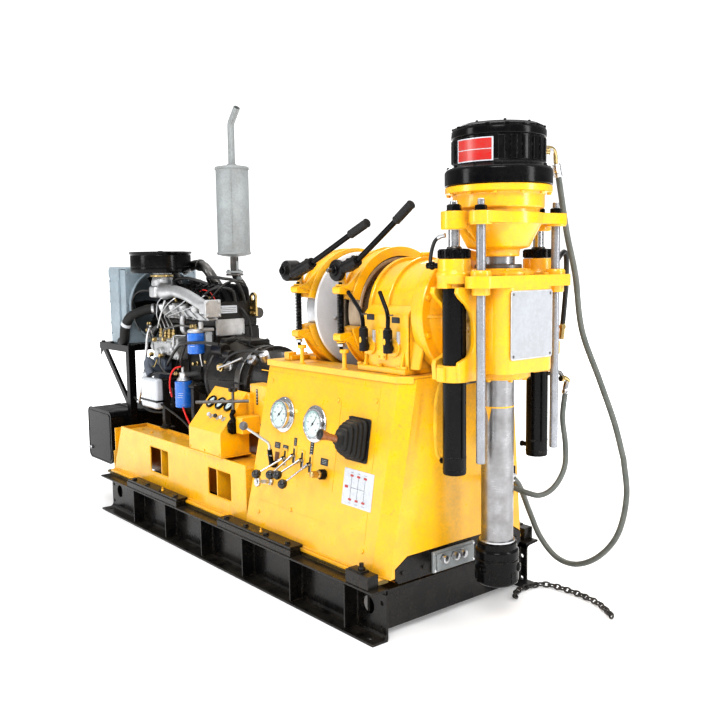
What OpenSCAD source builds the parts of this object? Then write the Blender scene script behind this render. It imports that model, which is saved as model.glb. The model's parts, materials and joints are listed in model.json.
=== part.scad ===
// Skid-mounted diesel core drilling rig with a swivelling hydraulic-feed spindle head and a
// band-brake winch. X runs along the skid towards the spindle (front), -Y is the operator side,
// +Z is up. Origin: middle of the skid on the ground. Millimetres.

/* [Skid] */
// Overall length of the skid beams
skid_len = 2384; // [2200:1:2600]
// Outside width over the two channel beams
skid_w = 926; // [860:1:1000]
// Height of the rolled channel
beam_h = 200; // [160:1:240]
// Anchor bolt hole diameter in the bottom flanges
anchor_d = 22; // [18:1:28]
// Distance from the skid middle to an anchor hole along X
anchor_x = 1140; // [1000:1:1160]

/* [Rotary head] */
// Distance from the skid middle to the spindle axis
spindle_x = 1371; // [1340:1:1400]
// Height of the swivel and winch axis
swivel_z = 1181; // [1150:1:1200]
// Outside diameter of the spindle tube
spindle_d = 119; // [110:1:127]
// Through bore of the spindle tube
spindle_bore = 93; // [60:1:96]
// Half distance between the two feed cylinders
feed_y = 226; // [220:1:235]
// Feed cylinder barrel diameter
barrel_d = 83; // [76:1:90]
// Piston rod diameter
rod_d = 40; // [36:1:45]
// Guide rod diameter
guide_d = 32; // [28:1:36]

/* [Winch] */
// Radius of the rope drum flange
drum_flange_r = 245; // [230:1:248]
// Radius of the rope barrel
drum_r = 100; // [80:1:120]
// Outside radius of the brake drums
brake_r = 219; // [210:1:219]

/* [Engine] */
// Height of the crankshaft axis
crank_z = 800; // [790:1:810]
// Radius of the cooling fan
fan_r = 200; // [150:1:205]
// Diameter of the silencer shell
muffler_d = 174; // [120:1:190]

/* [Hidden] */
$fn = 48;
fit = 0.05; // clearance between neighbouring parts

web_out = skid_w / 2 - 67;
web_in = web_out - 9;
flange_t = 11;
rail_top = beam_h + 14;
frame_top = rail_top + 13; // top of the sliding frame's base plates
side_top = 487; // top of the sliding frame's side beams
deck_z = 952;
deck_top = deck_z + 10;
front_x = 1192; // front face of the housing
swivel_bore_r = 236;
travel_z = 110; // axis of the travel cylinder
travel_bore_r = 35;
travel_rod_r = 20;

crank_r = 30;
input_shaft_r = 25;
winch_shaft_r = 35;
bell_x = -425; // rear face of the flywheel housing
head_half_w = 125;
fan_z = 1150;
fan_shaft_r = 18;
cleaner_z = 1340;

spindle_r = spindle_d / 2;
barrel_r = barrel_d / 2;
barrel_bore_r = barrel_r - 8;
rod_r = rod_d / 2;
rod_neck_r = rod_r - 5;
guide_r = guide_d / 2;
guide_neck_r = guide_r - 4;
guide_x = spindle_x + 100;
guide_y = 200;
sleeve_r = 85;

panel_tilt = 8.9; // lean of the control panel from vertical, degrees
panel_foot_y = -392;
panel_foot_z = 222;

yellow = [0.98, 0.78, 0.05];
black = [0.06, 0.06, 0.07];
steel = [0.72, 0.73, 0.75];
grey = [0.62, 0.66, 0.70];
dark = [0.22, 0.22, 0.23];
blue = [0.05, 0.35, 0.85];
wood = [0.45, 0.22, 0.08];
brass = [0.80, 0.62, 0.25];
white = [0.93, 0.94, 0.96];
rail_brown = [0.32, 0.27, 0.12];
lining_brown = [0.30, 0.20, 0.12];

// ---------------- helpers ----------------
module block(x0, x1, y0, y1, z0, z1)
  translate([x0, y0, z0]) cube([x1 - x0, y1 - y0, z1 - z0]);
module cyl_x(x0, x1, y, z, r) translate([x0, y, z]) rotate([0, 90, 0]) cylinder(r = r, h = x1 - x0);
module cyl_y(x, y0, y1, z, r) translate([x, y1, z]) rotate([90, 0, 0]) cylinder(r = r, h = y1 - y0);
module cyl_z(x, y, z0, z1, r) translate([x, y, z0]) cylinder(r = r, h = z1 - z0);
module ball(centre, r) translate(centre) sphere(r = r);
// straight round bar from start to end
module bar(start, end, r) {
  run = end - start;
  length = norm(run);
  translate(start)
    rotate([0, acos(run[2] / length), atan2(run[1], run[0])])
      cylinder(r = r, h = length);
}
// extrusion along X of a [y, z] outline
module extrude_x(x0, x1, outline)
  translate([x0, 0, 0]) rotate([90, 0, 90]) linear_extrude(height = x1 - x0) polygon(outline);
// turned part on a vertical axis; profile columns: radius, z
module turn_z(x, y, profile) translate([x, y, 0]) rotate_extrude() polygon(profile);
// turned part along X at height z and y = 0; profile columns: radius, x
module turn_x(z, profile) translate([0, 0, z]) rotate([0, 90, 0]) rotate_extrude() polygon(profile);
// ring on the swivel axis
module swivel_ring(x0, x1, outer_r, inner_r) difference() {
  cyl_x(x0, x1, 0, swivel_z, outer_r);
  cyl_x(x0 - 1, x1 + 1, 0, swivel_z, inner_r);
}
module both_sides() {
  children();
  mirror([0, 1, 0]) children();
}
module about_spindle(angle) translate([spindle_x, 0, 0]) rotate([0, 0, angle]) children();
// solid between two [x, y] outlines with the same number of points
module loft(z0, lower, z1, upper) {
  n = len(lower);
  polyhedron(
    points = concat([for (p = lower) [p[0], p[1], z0]], [for (p = upper) [p[0], p[1], z1]]),
    faces = concat(
      [[for (i = [0 : n - 1]) i]],
      [[for (i = [0 : n - 1]) 2 * n - 1 - i]],
      [for (i = [0 : n - 1]) [i, n + i, n + (i + 1) % n]],
      [for (i = [0 : n - 1]) [i, n + (i + 1) % n, (i + 1) % n]]));
}

// y of the sloping control panel and of the opposite housing wall at height z
function panel_y(z) = panel_foot_y + (z - panel_foot_z) * tan(panel_tilt);
function far_wall_y(z) = 389 - (z - frame_top) * 0.0772;
// stands children on the control panel; local +Z leaves the panel
module on_panel(x, z, lift = fit)
  translate([x, panel_y(z), z]) rotate([90 - panel_tilt, 0, 0]) translate([0, 0, lift]) children();
// point at a given distance off the panel
function off_panel(x, z, lift) =
  [x, panel_y(z) - lift * cos(panel_tilt), z + lift * sin(panel_tilt)];

// ---------------- skid ----------------
cross_beams_x = [-1120, -800, 780, 1120];

module skid_frame() color(black) difference() {
  union() {
    both_sides() {
      block(-skid_len / 2, skid_len / 2, web_in, web_out, 0, beam_h);
      for (z = [0, beam_h - flange_t])
        block(-skid_len / 2, skid_len / 2, web_in, skid_w / 2, z, z + flange_t);
      for (x = [-783, -422, -60, 302, 664, 1020]) // web stiffeners
        block(x, x + 8, web_out, skid_w / 2 - 3, flange_t, beam_h - flange_t);
    }
    for (x = cross_beams_x) block(x - 40, x + 40, -web_in, web_in, 30, 180);
  }
  both_sides() for (s = [-1, 1]) {
    cyl_z(s * anchor_x, 430, -1, 12, anchor_d / 2);
    cyl_y(s * 1090, web_in - 1, web_out + 1, 112, 34);
    for (z = [45, 140]) cyl_y(s * 1168, web_in - 1, web_out + 1, z, 9);
  }
  for (x = cross_beams_x) block(x - 34, x + 34, -web_in - 1, web_in + 1, 36, 174);
}
module slide_rails() color(rail_brown) both_sides() block(-1232, 1148, 345, 404, beam_h, rail_top);
module hold_down_bars() color(black) both_sides() {
  for (x = [[-850, -290], [100, 680]]) {
    block(x[0], x[1], 408, 460, beam_h, 240);
    block(x[0], x[1], 393, 409, 228, 240);
    for (i = [0 : 3]) cyl_z(x[0] + 50 + i * (x[1] - x[0] - 100) / 3, 436, 240, 250, 13);
  }
  block(1035, 1165, 408, 460, beam_h, 258);
  cyl_z(1100, 434, 258, 284, 9);
}
module travel_cylinder() color(dark) turn_x(travel_z, [
  [0, -760], [62, -760], [62, -740], [45, -740], [45, -120], [52, -120], [52, -96],
  [travel_rod_r + fit, -96], [travel_rod_r + fit, -130], [travel_bore_r, -130],
  [travel_bore_r, -738], [0, -738]]);

// ---------------- sliding frame ----------------
module travel_rod() color(steel) {
  turn_x(travel_z, [
    [0, -170], [travel_bore_r - fit, -170], [travel_bore_r - fit, -140],
    [travel_rod_r, -140], [travel_rod_r, 540], [0, 540]]);
  block(540, 600, -30, 30, travel_z - 30, travel_z + 30);
}
module main_frame() color(yellow) {
  both_sides() {
    block(-1180, 1148, 300, 406, rail_top + fit, frame_top);
    difference() {
      union() {
        for (y = [222, 374]) block(-1180, 235, y, y + 8, frame_top, side_top);
        block(-1180, 235, 230, 374, 462, 470);
        for (x = [-1180, -600, -30, 227]) block(x, x + 8, 230, 374, frame_top, 462);
      }
      for (x = [[-735, -525], [-105, 105]]) block(x[0], x[1], 200, 400, 286, 428);
      // sloped cut at the rear end
      translate([-1182, 200, frame_top]) rotate([0, 23, 0]) block(-300, 0, 0, 190, 0, 400);
    }
  }
  for (x = [-1080, -160]) block(x, x + 80, -222, 222, 240, 340);
  block(-1188, -1180, -382, 382, rail_top + fit, 330);
  for (x = [[1060, 1140], [520, 650]])
    block(x[0], x[1], -300, 300, rail_top + fit, frame_top);
  both_sides() block(545, 600, 30, 48, travel_z - 30, rail_top + fit); // travel rod lugs
}

// [x, y] section of the housing at height z: bevel_x, bevel_y bound the operator side bevel;
// wall and corner move the straight sides and the corner points inwards
function housing_outline(z, rear_x, bevel_x, bevel_y, wall = 0, corner = 0) = [
  [rear_x + wall, panel_y(z) + wall],
  [bevel_x - corner, panel_y(z) + wall],
  [front_x - wall, bevel_y],
  [front_x - wall, far_wall_y(z) - 40 - corner],
  [1150 - corner, far_wall_y(z) - wall],
  [rear_x + wall, far_wall_y(z) - wall]];

module front_housing() color(yellow) difference() {
  loft(frame_top, housing_outline(frame_top, 236, 1105, -372),
       deck_z, housing_outline(deck_z, 296, 1142, -236));
  // inside, measured at the same heights but run 1 mm past both ends
  loft(frame_top - 1, housing_outline(frame_top - 1, 236, 1105, -363, 8, 3),
       deck_z + 1, housing_outline(deck_z + 1, 296, 1142, -229, 8, 3));
  extrude_x(1160, 1200, [[-352, 200], [-352, 262], [-290, 299], [290, 299], [352, 262], [352, 200]]);
  cyl_x(230, 300, 0, crank_z, 62);
  cyl_x(1140, 1200, 0, swivel_z, swivel_bore_r);
}
module front_beam() {
  color(black) difference() {
    extrude_x(1152, front_x, [
      [-342, 203], [-344, 214.3], [-349, 214.3], [-349, 260], [-289, 297], [289, 297],
      [349, 260], [349, 214.3], [344, 214.3], [342, 203]]);
    extrude_x(1140, 1184, [[-335, 190], [-335, 258], [-284, 288], [284, 288], [335, 258], [335, 190]]);
  }
  color(grey) {
    block(front_x, 1204, -170, 60, 206, 290);
    for (y = [-120, -20]) cyl_x(1204, 1230, y, 258, 14);
  }
}
// deck plate with skirt, rear winch bearing stand and two pins; z is local to deck_z
module top_deck() color(yellow) translate([0, 0, deck_z]) difference() {
  axis_z = swivel_z - deck_z;
  union() {
    linear_extrude(height = 10)
      polygon([[288, -290], [1142, -290], [1190, -248], [1190, 298], [1152, 341], [288, 341]]);
    translate([0, 0, -16]) linear_extrude(height = 26)
      polygon([
        [288, -290], [1142, -290], [1190, -248], [1190, -244], [1142, -282],
        [294, -282], [294, 341], [288, 341]]);
    block(428, 472, -90, 90, 10, 150);
    cyl_x(428, 472, 0, axis_z, 90);
    block(428, 472, -90, 90, 149, axis_z);
    for (x = brake_bands_x) cyl_z(x, -279, 10, 82, 9);
  }
  block(480, 862, -152, 152, -20, 20);
  block(950, 1100, -200, 200, -20, 20);
  cyl_x(1140, 1200, 0, axis_z, swivel_bore_r);
  cyl_x(420, 480, 0, axis_z, winch_shaft_r + fit);
}
module console_box() color(yellow) difference() {
  union() {
    extrude_x(-262, 38, [
      [-392, side_top + fit], [-392, 604], [-240, 782], [-236, 782], [-236, side_top + fit]]);
    block(20, 60, -240, -221, 640, 780);
    block(36, 232, -225, -150, 640, 822);
    for (x = [-205, -125, -45]) // round pads on the sloping face
      translate([x, -318, 688.6]) rotate([49.5, 0, 0]) cylinder(r = 26, h = 9);
  }
  extrude_x(-258, 34, [[-388, 480], [-388, 602], [-242.5, 772.5], [-240, 772.5], [-240, 480]]);
  block(40, 228, -221, -146, 644, 818);
}
module fuel_tank() color(black) {
  difference() {
    translate([-1565, 230, 0]) rotate([90, 0, 0]) linear_extrude(height = 602) union() {
      translate([0, 265]) square([333, 250]);
      translate([30, 235]) square([273, 310]);
      for (x = [30, 303], z = [265, 515]) translate([x, z]) circle(r = 30);
    }
    block(-1555, -1243, -362, 220, 250, 535);
  }
  cyl_z(-1420, 120, 545, 575, 34);
}

// ---------------- radiator ----------------
bracket_front_x = -1188 - fit;
radiator_z = 925;

module radiator_bracket() color(black) {
  both_sides() {
    block(-1600, bracket_front_x, 225, 265, 895, radiator_z);
    block(-1232, bracket_front_x, 225, 265, 300, 895);
    bar([-1585, 245, 900], [-1215, 245, 540], 13);
  }
  for (x = [-1600, -1300]) block(x, x + 35, -225, 225, 895, radiator_z);
}
module radiator() color(grey) {
  difference() {
    block(-1480, -1340, -240, 240, radiator_z, 1375);
    block(-1490, -1440, -215, 215, 955, 1330);
    block(-1395, -1330, -215, 215, 955, 1330);
  }
  for (i = [0 : 13]) block(-1452, -1439, -216, 216, 968 + i * 26, 972 + i * 26);
  difference() { // fan shroud
    block(-1340, -1270, -232, 232, 930, 1370);
    block(-1336, -1274, -226, 226, 936, 1364);
    cyl_x(-1280, -1260, 0, fan_z, 212);
  }
  difference() {
    cyl_x(-1274, -1236, 0, fan_z, 216);
    cyl_x(-1275, -1230, 0, fan_z, 212);
  }
  cyl_z(-1400, 60, 1375, 1395, 30);
  cyl_z(-1400, 60, 1395, 1407, 36);
}

// ---------------- engine ----------------
engine_front_x = bell_x - fit;
silencer_x = -568;
silencer_y = 80;
exhaust_y = 172;
filter_y = -230;

module engine_block() color(dark) difference() {
  union() {
    block(-1010, engine_front_x, -140, 140, 740, 1060);
    block(-990, -440, -115, 115, 545, 740);
    block(-1050, -1010, -130, 130, 700, 1200);
    cyl_x(-1112, -1050, 0, fan_z, 45);
    for (x = [-870, -540]) both_sides() { // mounting feet
      block(x, x + 60, 130, 240, 700, 760);
      block(x, x + 60, 195, 240, side_top + fit, 700);
    }
    cyl_x(-1040, -860, 205, 930, 62);
    block(-1000, -900, 139, 180, 900, 960);
    cyl_x(-680, engine_front_x, 190, 830, 48);
    block(-600, -500, 139, 160, 810, 850);
  }
  cyl_x(-1200, -190, 0, crank_z, crank_r + fit);
  cyl_x(-1120, -1050, 0, fan_z, fan_shaft_r + fit);
  for (i = [0 : 3]) { // crank chambers and cylinder bores
    block(-1000 + i * 140, -870 + i * 140, -105, 105, 560, 870);
    cyl_z(-935 + i * 140, 0, 869, 1061, 50);
  }
}
module cylinder_head() color(black) {
  difference() {
    union() {
      block(-1000, -425, -head_half_w, head_half_w, 1060, 1176);
      block(-975, -445, -95, 95, 1175, 1241);
      block(-955, -465, -75, 75, 1240, 1275);
    }
    block(-968, -452, -88, 88, 1178, 1234);
    block(-948, -472, -68, 68, 1230, 1269);
  }
  for (i = [0 : 3]) cyl_z(-890 + i * 130, 0, 1275, 1287, 12);
  color(brass) difference() { // lifting eye
    union() {
      block(-425, -365, 78, 90, 1110, 1195);
      cyl_y(-395, 78, 90, 1205, 30);
    }
    cyl_y(-395, 70, 98, 1207, 15);
  }
}
module flywheel_housing() color(dark) difference() {
  union() {
    cyl_x(bell_x, -60, 0, crank_z, 215);
    translate([-60, 0, crank_z]) rotate([0, 90, 0]) cylinder(r1 = 200, r2 = 120, h = 130);
    cyl_x(70, 95, 0, crank_z, 60);
    both_sides() {
      block(-155, -95, 140, 220, 700, 760);
      block(-155, -95, 170, 220, 340 + fit, 700);
    }
  }
  cyl_x(bell_x + 8, -60, 0, crank_z, 190);
  translate([-61, 0, crank_z]) rotate([0, 90, 0]) cylinder(r1 = 188, r2 = 108, h = 119);
  cyl_x(50, 100, 0, crank_z, input_shaft_r + fit);
  cyl_x(-430, -410, 0, crank_z, crank_r + fit);
}
module intake_manifold() color(steel) {
  log_end = [-960, -175, 1240];
  elbow = [-1030, -150, 1290];
  block(-950, -440, -140, -head_half_w - fit, 1090, 1160);
  for (i = [0 : 3]) bar([-890 + i * 120, -146, 1125], [-890 + i * 120, -172, 1165], 24);
  bar(log_end, [-330, -175, 1165], 30);
  bar(log_end, elbow, 36);
  ball(log_end, 40);
  ball(elbow, 43);
  cyl_z(elbow[0], elbow[1], elbow[2], cleaner_z - fit, 38);
}
module air_cleaner() color(black) {
  difference() {
    cyl_z(-1035, -120, cleaner_z, 1452.5, 168);
    cyl_z(-1035, -120, cleaner_z + 4, 1449, 164);
  }
  cyl_z(-1035, -120, 1452, 1458, 172);
}
module exhaust_pipe() color(grey) {
  riser_top = [silencer_x, exhaust_y, 1235];
  inlet = [silencer_x, silencer_y, 1350];
  outlet = [silencer_x, silencer_y, 2120];
  cyl_x(-940, -480, exhaust_y, 1120, 30);
  for (i = [0 : 3]) cyl_y(-890 + i * 120, head_half_w + fit, 165, 1120, 22);
  bar([silencer_x, exhaust_y, 1120], riser_top, 24);
  ball(riser_top, 25);
  bar(riser_top, inlet, 22);
  ball(inlet, 24);
  cyl_z(silencer_x, silencer_y, inlet[2], 1432, 22);
  for (z = [1428, 1896]) cyl_z(silencer_x, silencer_y, z, z + 6, muffler_d / 2 + 4);
  difference() {
    cyl_z(silencer_x, silencer_y, 1433.5, 1896.5, muffler_d / 2);
    cyl_z(silencer_x, silencer_y, 1438, 1892, muffler_d / 2 - 3);
  }
  cyl_z(silencer_x, silencer_y, 1902, outlet[2], 18);
  ball(outlet, 19);
  bar(outlet, [-498, silencer_y, 2200], 18);
}
module injection_pump() color(grey) {
  block(-980, -760, -205, -140, 890, 985);
  block(-760, -690, -215, -140, 870, 1000);
  cyl_x(-1006, -980, -180, 935, 36);
  for (i = [0 : 3]) cyl_z(-950 + i * 50, -175, 985, 1030, 11);
  block(-1000, -900, -255, -210, 600, 770);
  block(-990, -910, -212, -140 - fit, 745, 800);
}
module oil_filters() color(blue) {
  cyl_z(-457, filter_y, 928, 1040, 44);
  cyl_z(-457, filter_y, 1040, 1055, 36);
  block(-485, -430, -235, -140, 1040, 1058);
  cyl_z(-606, filter_y, 633, 776, 46);
  cyl_z(-606, filter_y, 776, 812, 26);
  block(-630, -582, -235, -140, 795, 815);
}
// outline around the crank and fan pulleys
module belt_outline(crank_end_r, fan_end_r) hull() {
  translate([0, crank_z]) circle(r = crank_end_r);
  translate([0, fan_z]) circle(r = fan_end_r);
}
module fan_belt() color(black)
  translate([-1142, 0, 0]) rotate([90, 0, 90]) linear_extrude(height = 24) difference() {
    belt_outline(84, 68);
    belt_outline(75.6, 60.6);
  }
module crankshaft() color(dark) {
  cyl_x(-1150, -138, 0, crank_z, crank_r);
  cyl_x(-1144, -1116, 0, crank_z, 75); // pulley
  cyl_x(-185, -140, 0, crank_z, 176); // flywheel
}
module cooling_fan() color(black) {
  cyl_x(-1250, -1060, 0, fan_z, fan_shaft_r);
  cyl_x(-1144, -1116, 0, fan_z, 60); // pulley
  cyl_x(-1245, -1205, 0, fan_z, 56); // hub
  for (i = [0 : 5])
    translate([-1225, 0, fan_z]) rotate([i * 60, 0, 0]) translate([0, 0, 50])
      rotate([0, 0, 35]) translate([-2, -32, 0]) cube([4, 64, fan_r - 55]);
}

// ---------------- transmission and winch ----------------
brake_bands_x = [528, 812]; // middle of the left (rear) and right (front) band
band_r = 224; // inside radius of the bands
band_gap = 81; // half height of the gap in each band
bolt_y = -285;
lever_pin_z = 1350;
shift_x = [938, 1077]; // low and high shift lever
shift_y = -275;

module gear(z) translate([1000, 0, z]) rotate([0, 90, 0]) difference() {
  tip_r = 189;
  teeth = 40;
  width = 45;
  cylinder(r = tip_r, h = width);
  for (i = [0 : teeth - 1])
    rotate([0, 0, i * 360 / teeth]) translate([tip_r - 9, -5, -1]) cube([20, 10, width + 2]);
}
module input_shaft() color(steel) {
  cyl_x(-130, 1120, 0, crank_z, input_shaft_r);
  cyl_x(-134, -116, 0, crank_z, 150);
  cyl_x(120, 210, 0, crank_z, 52);
  gear(crank_z);
}
module winch_shaft() color(steel) {
  cyl_x(440, 1280, 0, swivel_z, winch_shaft_r);
  gear(swivel_z);
  translate([1240, 0, swivel_z]) rotate([0, 90, 0]) cylinder(r1 = 62, r2 = 48, h = 40);
}
module gearbox_housing() color(yellow) difference() {
  union() {
    block(880, 1148, -262, 262, deck_top, 984);
    block(900, 1150, -240, 240, 983, swivel_z);
    cyl_x(900, 1150, 0, swivel_z, 205);
    cyl_x(854, 900, 0, swivel_z, 185);
    cyl_x(1150, front_x, 0, swivel_z, swivel_bore_r - 1);
    for (x = [960, 1070]) block(x, x + 18, -90, 90, 715, 963); // input shaft hangers
  }
  cyl_x(988, 1060, 0, swivel_z, 193);
  block(988, 1060, -193, 193, 950, swivel_z);
  cyl_x(850, 1200, 0, swivel_z, winch_shaft_r + fit);
  cyl_x(950, 1100, 0, crank_z, input_shaft_r + fit);
  for (x = shift_x) cyl_y(x, -241, -200, 1060, 12 + fit);
}
module winch_drum() color(steel) turn_x(swivel_z, [
  [winch_shaft_r + fit, 492], [60, 492], [60, 556], [205, 556], [205, 492], [brake_r, 492],
  [brake_r, 566], [drum_r, 566], [drum_r, 582], [drum_flange_r, 582], [drum_flange_r, 594],
  [drum_r, 594], [drum_r, 752], [drum_flange_r - 8, 752], [drum_flange_r - 8, 764],
  [winch_shaft_r + fit, 764]]);
module hoist_ring() color(dark) turn_x(swivel_z, [
  [winch_shaft_r + fit, 767], [70, 767], [70, 776], [brake_r, 776], [brake_r, 848], [205, 848],
  [205, 790], [70, 790], [70, 850], [winch_shaft_r + fit, 850]]);
// opening of a band on the operator side
module band_opening(x)
  block(x - 40, x + 40, -300, -120, swivel_z - band_gap, swivel_z + band_gap);
module brake_band(x) color(yellow) {
  difference() {
    union() {
      swivel_ring(x - 38, x + 38, 252, band_r);
      for (rib_x = [x - 38, x + 26]) swivel_ring(rib_x, rib_x + 12, 262, band_r);
      extrude_x(x - 30, x + 30, [ // foot
        [150, deck_top + fit], [262, deck_top + fit], [262, 990], [212, 1045], [168, 1014]]);
    }
    band_opening(x);
  }
  difference() {
    union() for (s = [1, -1]) // bolt lugs; columns: y, distance from the swivel axis
      extrude_x(x - 20, x + 20, [
        for (p = [[-306, band_gap], [-306, 109], [-262, 109], [-215, 165], [-185, 135],
                  [-215, band_gap]])
          [p[0], swivel_z + s * p[1]]]);
    cyl_z(x, bolt_y, 1000, 1400, 8.2);
    cyl_z(x, bolt_y, 1000, 1072, 15);
    cyl_z(x, bolt_y, 1290, 1400, 20);
    cyl_x(x - 60, x + 60, 0, swivel_z, 226);
  }
  block(x - 42, x - 6, -260, -250, 1281, 1368); // lever pin plate
  cyl_y(x - 20, -336, -253, lever_pin_z, 8);
}
module brake_band_left() brake_band(brake_bands_x[0]);
module brake_band_right() brake_band(brake_bands_x[1]);
module band_linings() color(lining_brown) for (x = brake_bands_x) difference() {
  swivel_ring(x - 34, x + 34, band_r - fit, 220.5);
  band_opening(x);
}
// hex-headed bolts, each with a ribbed sleeve between the band lugs
module band_bolts() color(dark) for (x = brake_bands_x) {
  sleeve_z = swivel_z - band_gap + 0.1;
  sleeve_h = 2 * band_gap - 0.2;
  cyl_z(x, bolt_y, 1045, 1304, 8);
  translate([x, bolt_y, 1050]) cylinder(r = 14, h = 22, $fn = 6);
  turn_z(x, bolt_y, concat(
    [[7.5, sleeve_z]],
    [for (i = [0 : 31]) [i % 2 == 0 ? 11 : 15.5, sleeve_z + i * sleeve_h / 31]],
    [[7.5, sleeve_z + sleeve_h]]));
}
module lever_hub(band_x, y0, y1) difference() {
  union() {
    cyl_y(band_x - 20, y0, y1, lever_pin_z, 43);
    cyl_y(band_x - 20, y0, -262, lever_pin_z, 26);
  }
  cyl_y(band_x - 20, -340, -250, lever_pin_z, 8 + fit);
}
module hoist_lever() color(black) {
  lever_hub(brake_bands_x[1], -300, -268);
  bar([830, -278, 1360], [912, -278, 1386], 19);
  bar([900, -278, 1379], [1136, -278, 1530], 11);
  bar([1126, -278, 1524], [1216, -278, 1583], 17);
}
module brake_lever() color(black) {
  lever_hub(brake_bands_x[0], -344, -270);
  bar([548, -325, 1346], [684, -325, 1382], 19);
  bar([672, -325, 1377], [936, -325, 1487], 11);
  bar([926, -325, 1483], [1029, -325, 1525], 17);
}
module shift_lever(x, bend, tip) color(black) {
  cyl_z(x, shift_y, 1044, 1132, 17);
  cyl_y(x, -262, -205, 1060, 12);
  bar([x, shift_y, 1125], bend, 8);
  ball(bend, 9.5);
  bar(bend, tip, 8);
}
module shift_lever_low() shift_lever(shift_x[0], [930, shift_y, 1187], [850, shift_y, 1264]);
module shift_lever_high() shift_lever(shift_x[1], [1081, shift_y, 1187], [1037, shift_y, 1266]);

// ---------------- controls ----------------
control_lift = 0.3; // gap between the panel and the knobs on it

module gauge(x, z, depth) on_panel(x, z) {
  color(steel) difference() {
    cylinder(r = 75, h = 4);
    translate([0, 0, -1]) cylinder(r = 57, h = 6);
  }
  color(steel) difference() {
    cylinder(r = 60, h = depth);
    translate([0, 0, depth - 4]) cylinder(r = 55, h = 6);
  }
  color(white) translate([0, 0, depth - 4.5]) cylinder(r = 54, h = 1.5);
}
module pressure_gauges() {
  gauge(434, 736, 42);
  gauge(664, 725, 22);
}
module panel_plates() {
  color(white) on_panel(976, 519) block(-88, 88, -71, 71, 0, 1.5);
  color(black) for (p = [[421, 603], [482, 600], [548, 622], [612, 612], [690, 590]])
    on_panel(p[0], p[1]) block(-13, 13, -8, 8, 0, 1);
}
module lever_boot() color(black) on_panel(950, 704) difference() {
  union() {
    block(-56, 56, -74, 74, 0, 6);
    turn_z(0, 0, [ // bellows
      [0, 5], [54, 5], [54, 14], [50, 22], [53, 26], [46, 40], [49, 44], [41, 58], [44, 62],
      [36, 76], [38, 80], [31, 94], [31, 98], [0, 98]]);
  }
  translate([0, 0, -1]) cylinder(r = 27, h = 120);
}
module feed_lever() {
  pivot = off_panel(950, 704, 12);
  color(steel) bar(pivot, off_panel(950, 704, 112), 6);
  color(steel) translate(pivot) rotate([0, 90, 0]) cylinder(r = 9, h = 24, center = true);
  color(wood) bar(off_panel(950, 704, 108), [933, -490, 746], 13);
}
module ball_lever(x, z, knob) {
  pivot = off_panel(x, z, 9);
  color(steel) bar(pivot, knob, 4.5);
  color(black) {
    ball(knob, 18);
    translate(pivot) {
      sphere(r = 8);
      rotate([0, 90, 0]) cylinder(r = 5, h = 22, center = true);
    }
  }
}
module valve_lever_1() ball_lever(481, 557, [443, -460, 501]);
module valve_lever_2() ball_lever(545, 578, [545, -457, 516]);
module valve_lever_3() ball_lever(604, 569, [595, -456, 524]);
module valve_lever_4() ball_lever(661, 560, [637, -461, 495]);
module regulator_wheel() color(steel) on_panel(404, 444, control_lift) {
  cylinder(r = 9, h = 82);
  translate([0, 0, 66]) cylinder(r = 21, h = 14);
  cylinder(r = 16, h = 14);
}
module relief_knob() on_panel(762, 538, control_lift) {
  color(black) cylinder(r = 20, h = 26);
  color(brass) translate([0, 0, 26]) cylinder(r = 13, h = 42);
}
module clutch_lever() {
  bend = [432, -382, 618];
  knob = [367, -469, 697];
  color(black) on_panel(416, 520, control_lift) cylinder(r = 14, h = 26);
  color(black) bar(off_panel(416, 516, 18), [426, -379, 592], 10);
  color(steel) {
    bar([426, -379, 588], bend, 6);
    ball(bend, 7.5);
    bar(bend, knob, 6);
  }
  color(dark) ball(knob, 19);
}
module throttle_lever() {
  color(black) {
    cyl_x(38.3, 58, -325, 637, 30);
    bar([50, -325, 640], [50, -326, 704], 10.5);
    for (i = [0 : 4]) // lobes of the hand knob
      cyl_z(50 + 13 * cos(i * 72), -326 + 13 * sin(i * 72), 796, 812, 8);
    cyl_z(50, -326, 796, 812, 14);
  }
  color(steel) {
    bar([50, -326, 700], [50, -326, 800], 7);
    bar([-52, -465, 750], [93, -267, 750], 7.5);
  }
}

// ---------------- swivelling head ----------------
module head_housing() color(yellow) difference() {
  union() {
    cyl_x(front_x + fit, 1222, 0, swivel_z, 240);
    cyl_x(1221, 1262, 0, swivel_z, 160);
    translate([0, 0, 985]) linear_extrude(height = 300) union() {
      translate([1240, -147]) square([226, 294]);
      translate([1400, -87]) square([126, 174]);
      for (s = [-1, 1]) translate([1466, s * 87]) circle(r = 60);
    }
    translate([0, 0, 1284]) linear_extrude(height = 43) union() {
      translate([1262, -147]) square([264, 294]);
      translate([1325, -226]) square([92, 452]);
      translate([1440, -200]) square([86, 400]);
      for (s = [-1, 1]) {
        translate([guide_x, s * guide_y]) circle(r = 55);
        translate([spindle_x, s * feed_y]) circle(r = 60);
      }
    }
    both_sides() { // barrel clamps
      cyl_z(spindle_x, feed_y, 1284, 1356, 60);
      cyl_z(spindle_x, feed_y, 962, 1020, 60);
      block(1330, 1412, 140, 226, 962, 1020);
    }
    cyl_z(spindle_x, 0, 958, 986, 118);
    for (i = [0 : 7]) about_spindle(i * 45 + 22.5) cyl_z(100, 0, 949, 958.5, 10);
  }
  cyl_z(spindle_x, 0, 1002, 1272, 130);
  cyl_z(spindle_x, 0, 940, 1340, sleeve_r + fit);
  cyl_x(1190, 1300, 0, swivel_z, 75);
  both_sides() {
    cyl_z(spindle_x, feed_y, 950, 1360, barrel_r + fit);
    cyl_z(guide_x, guide_y, 950, 1360, guide_r + fit);
  }
}
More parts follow.
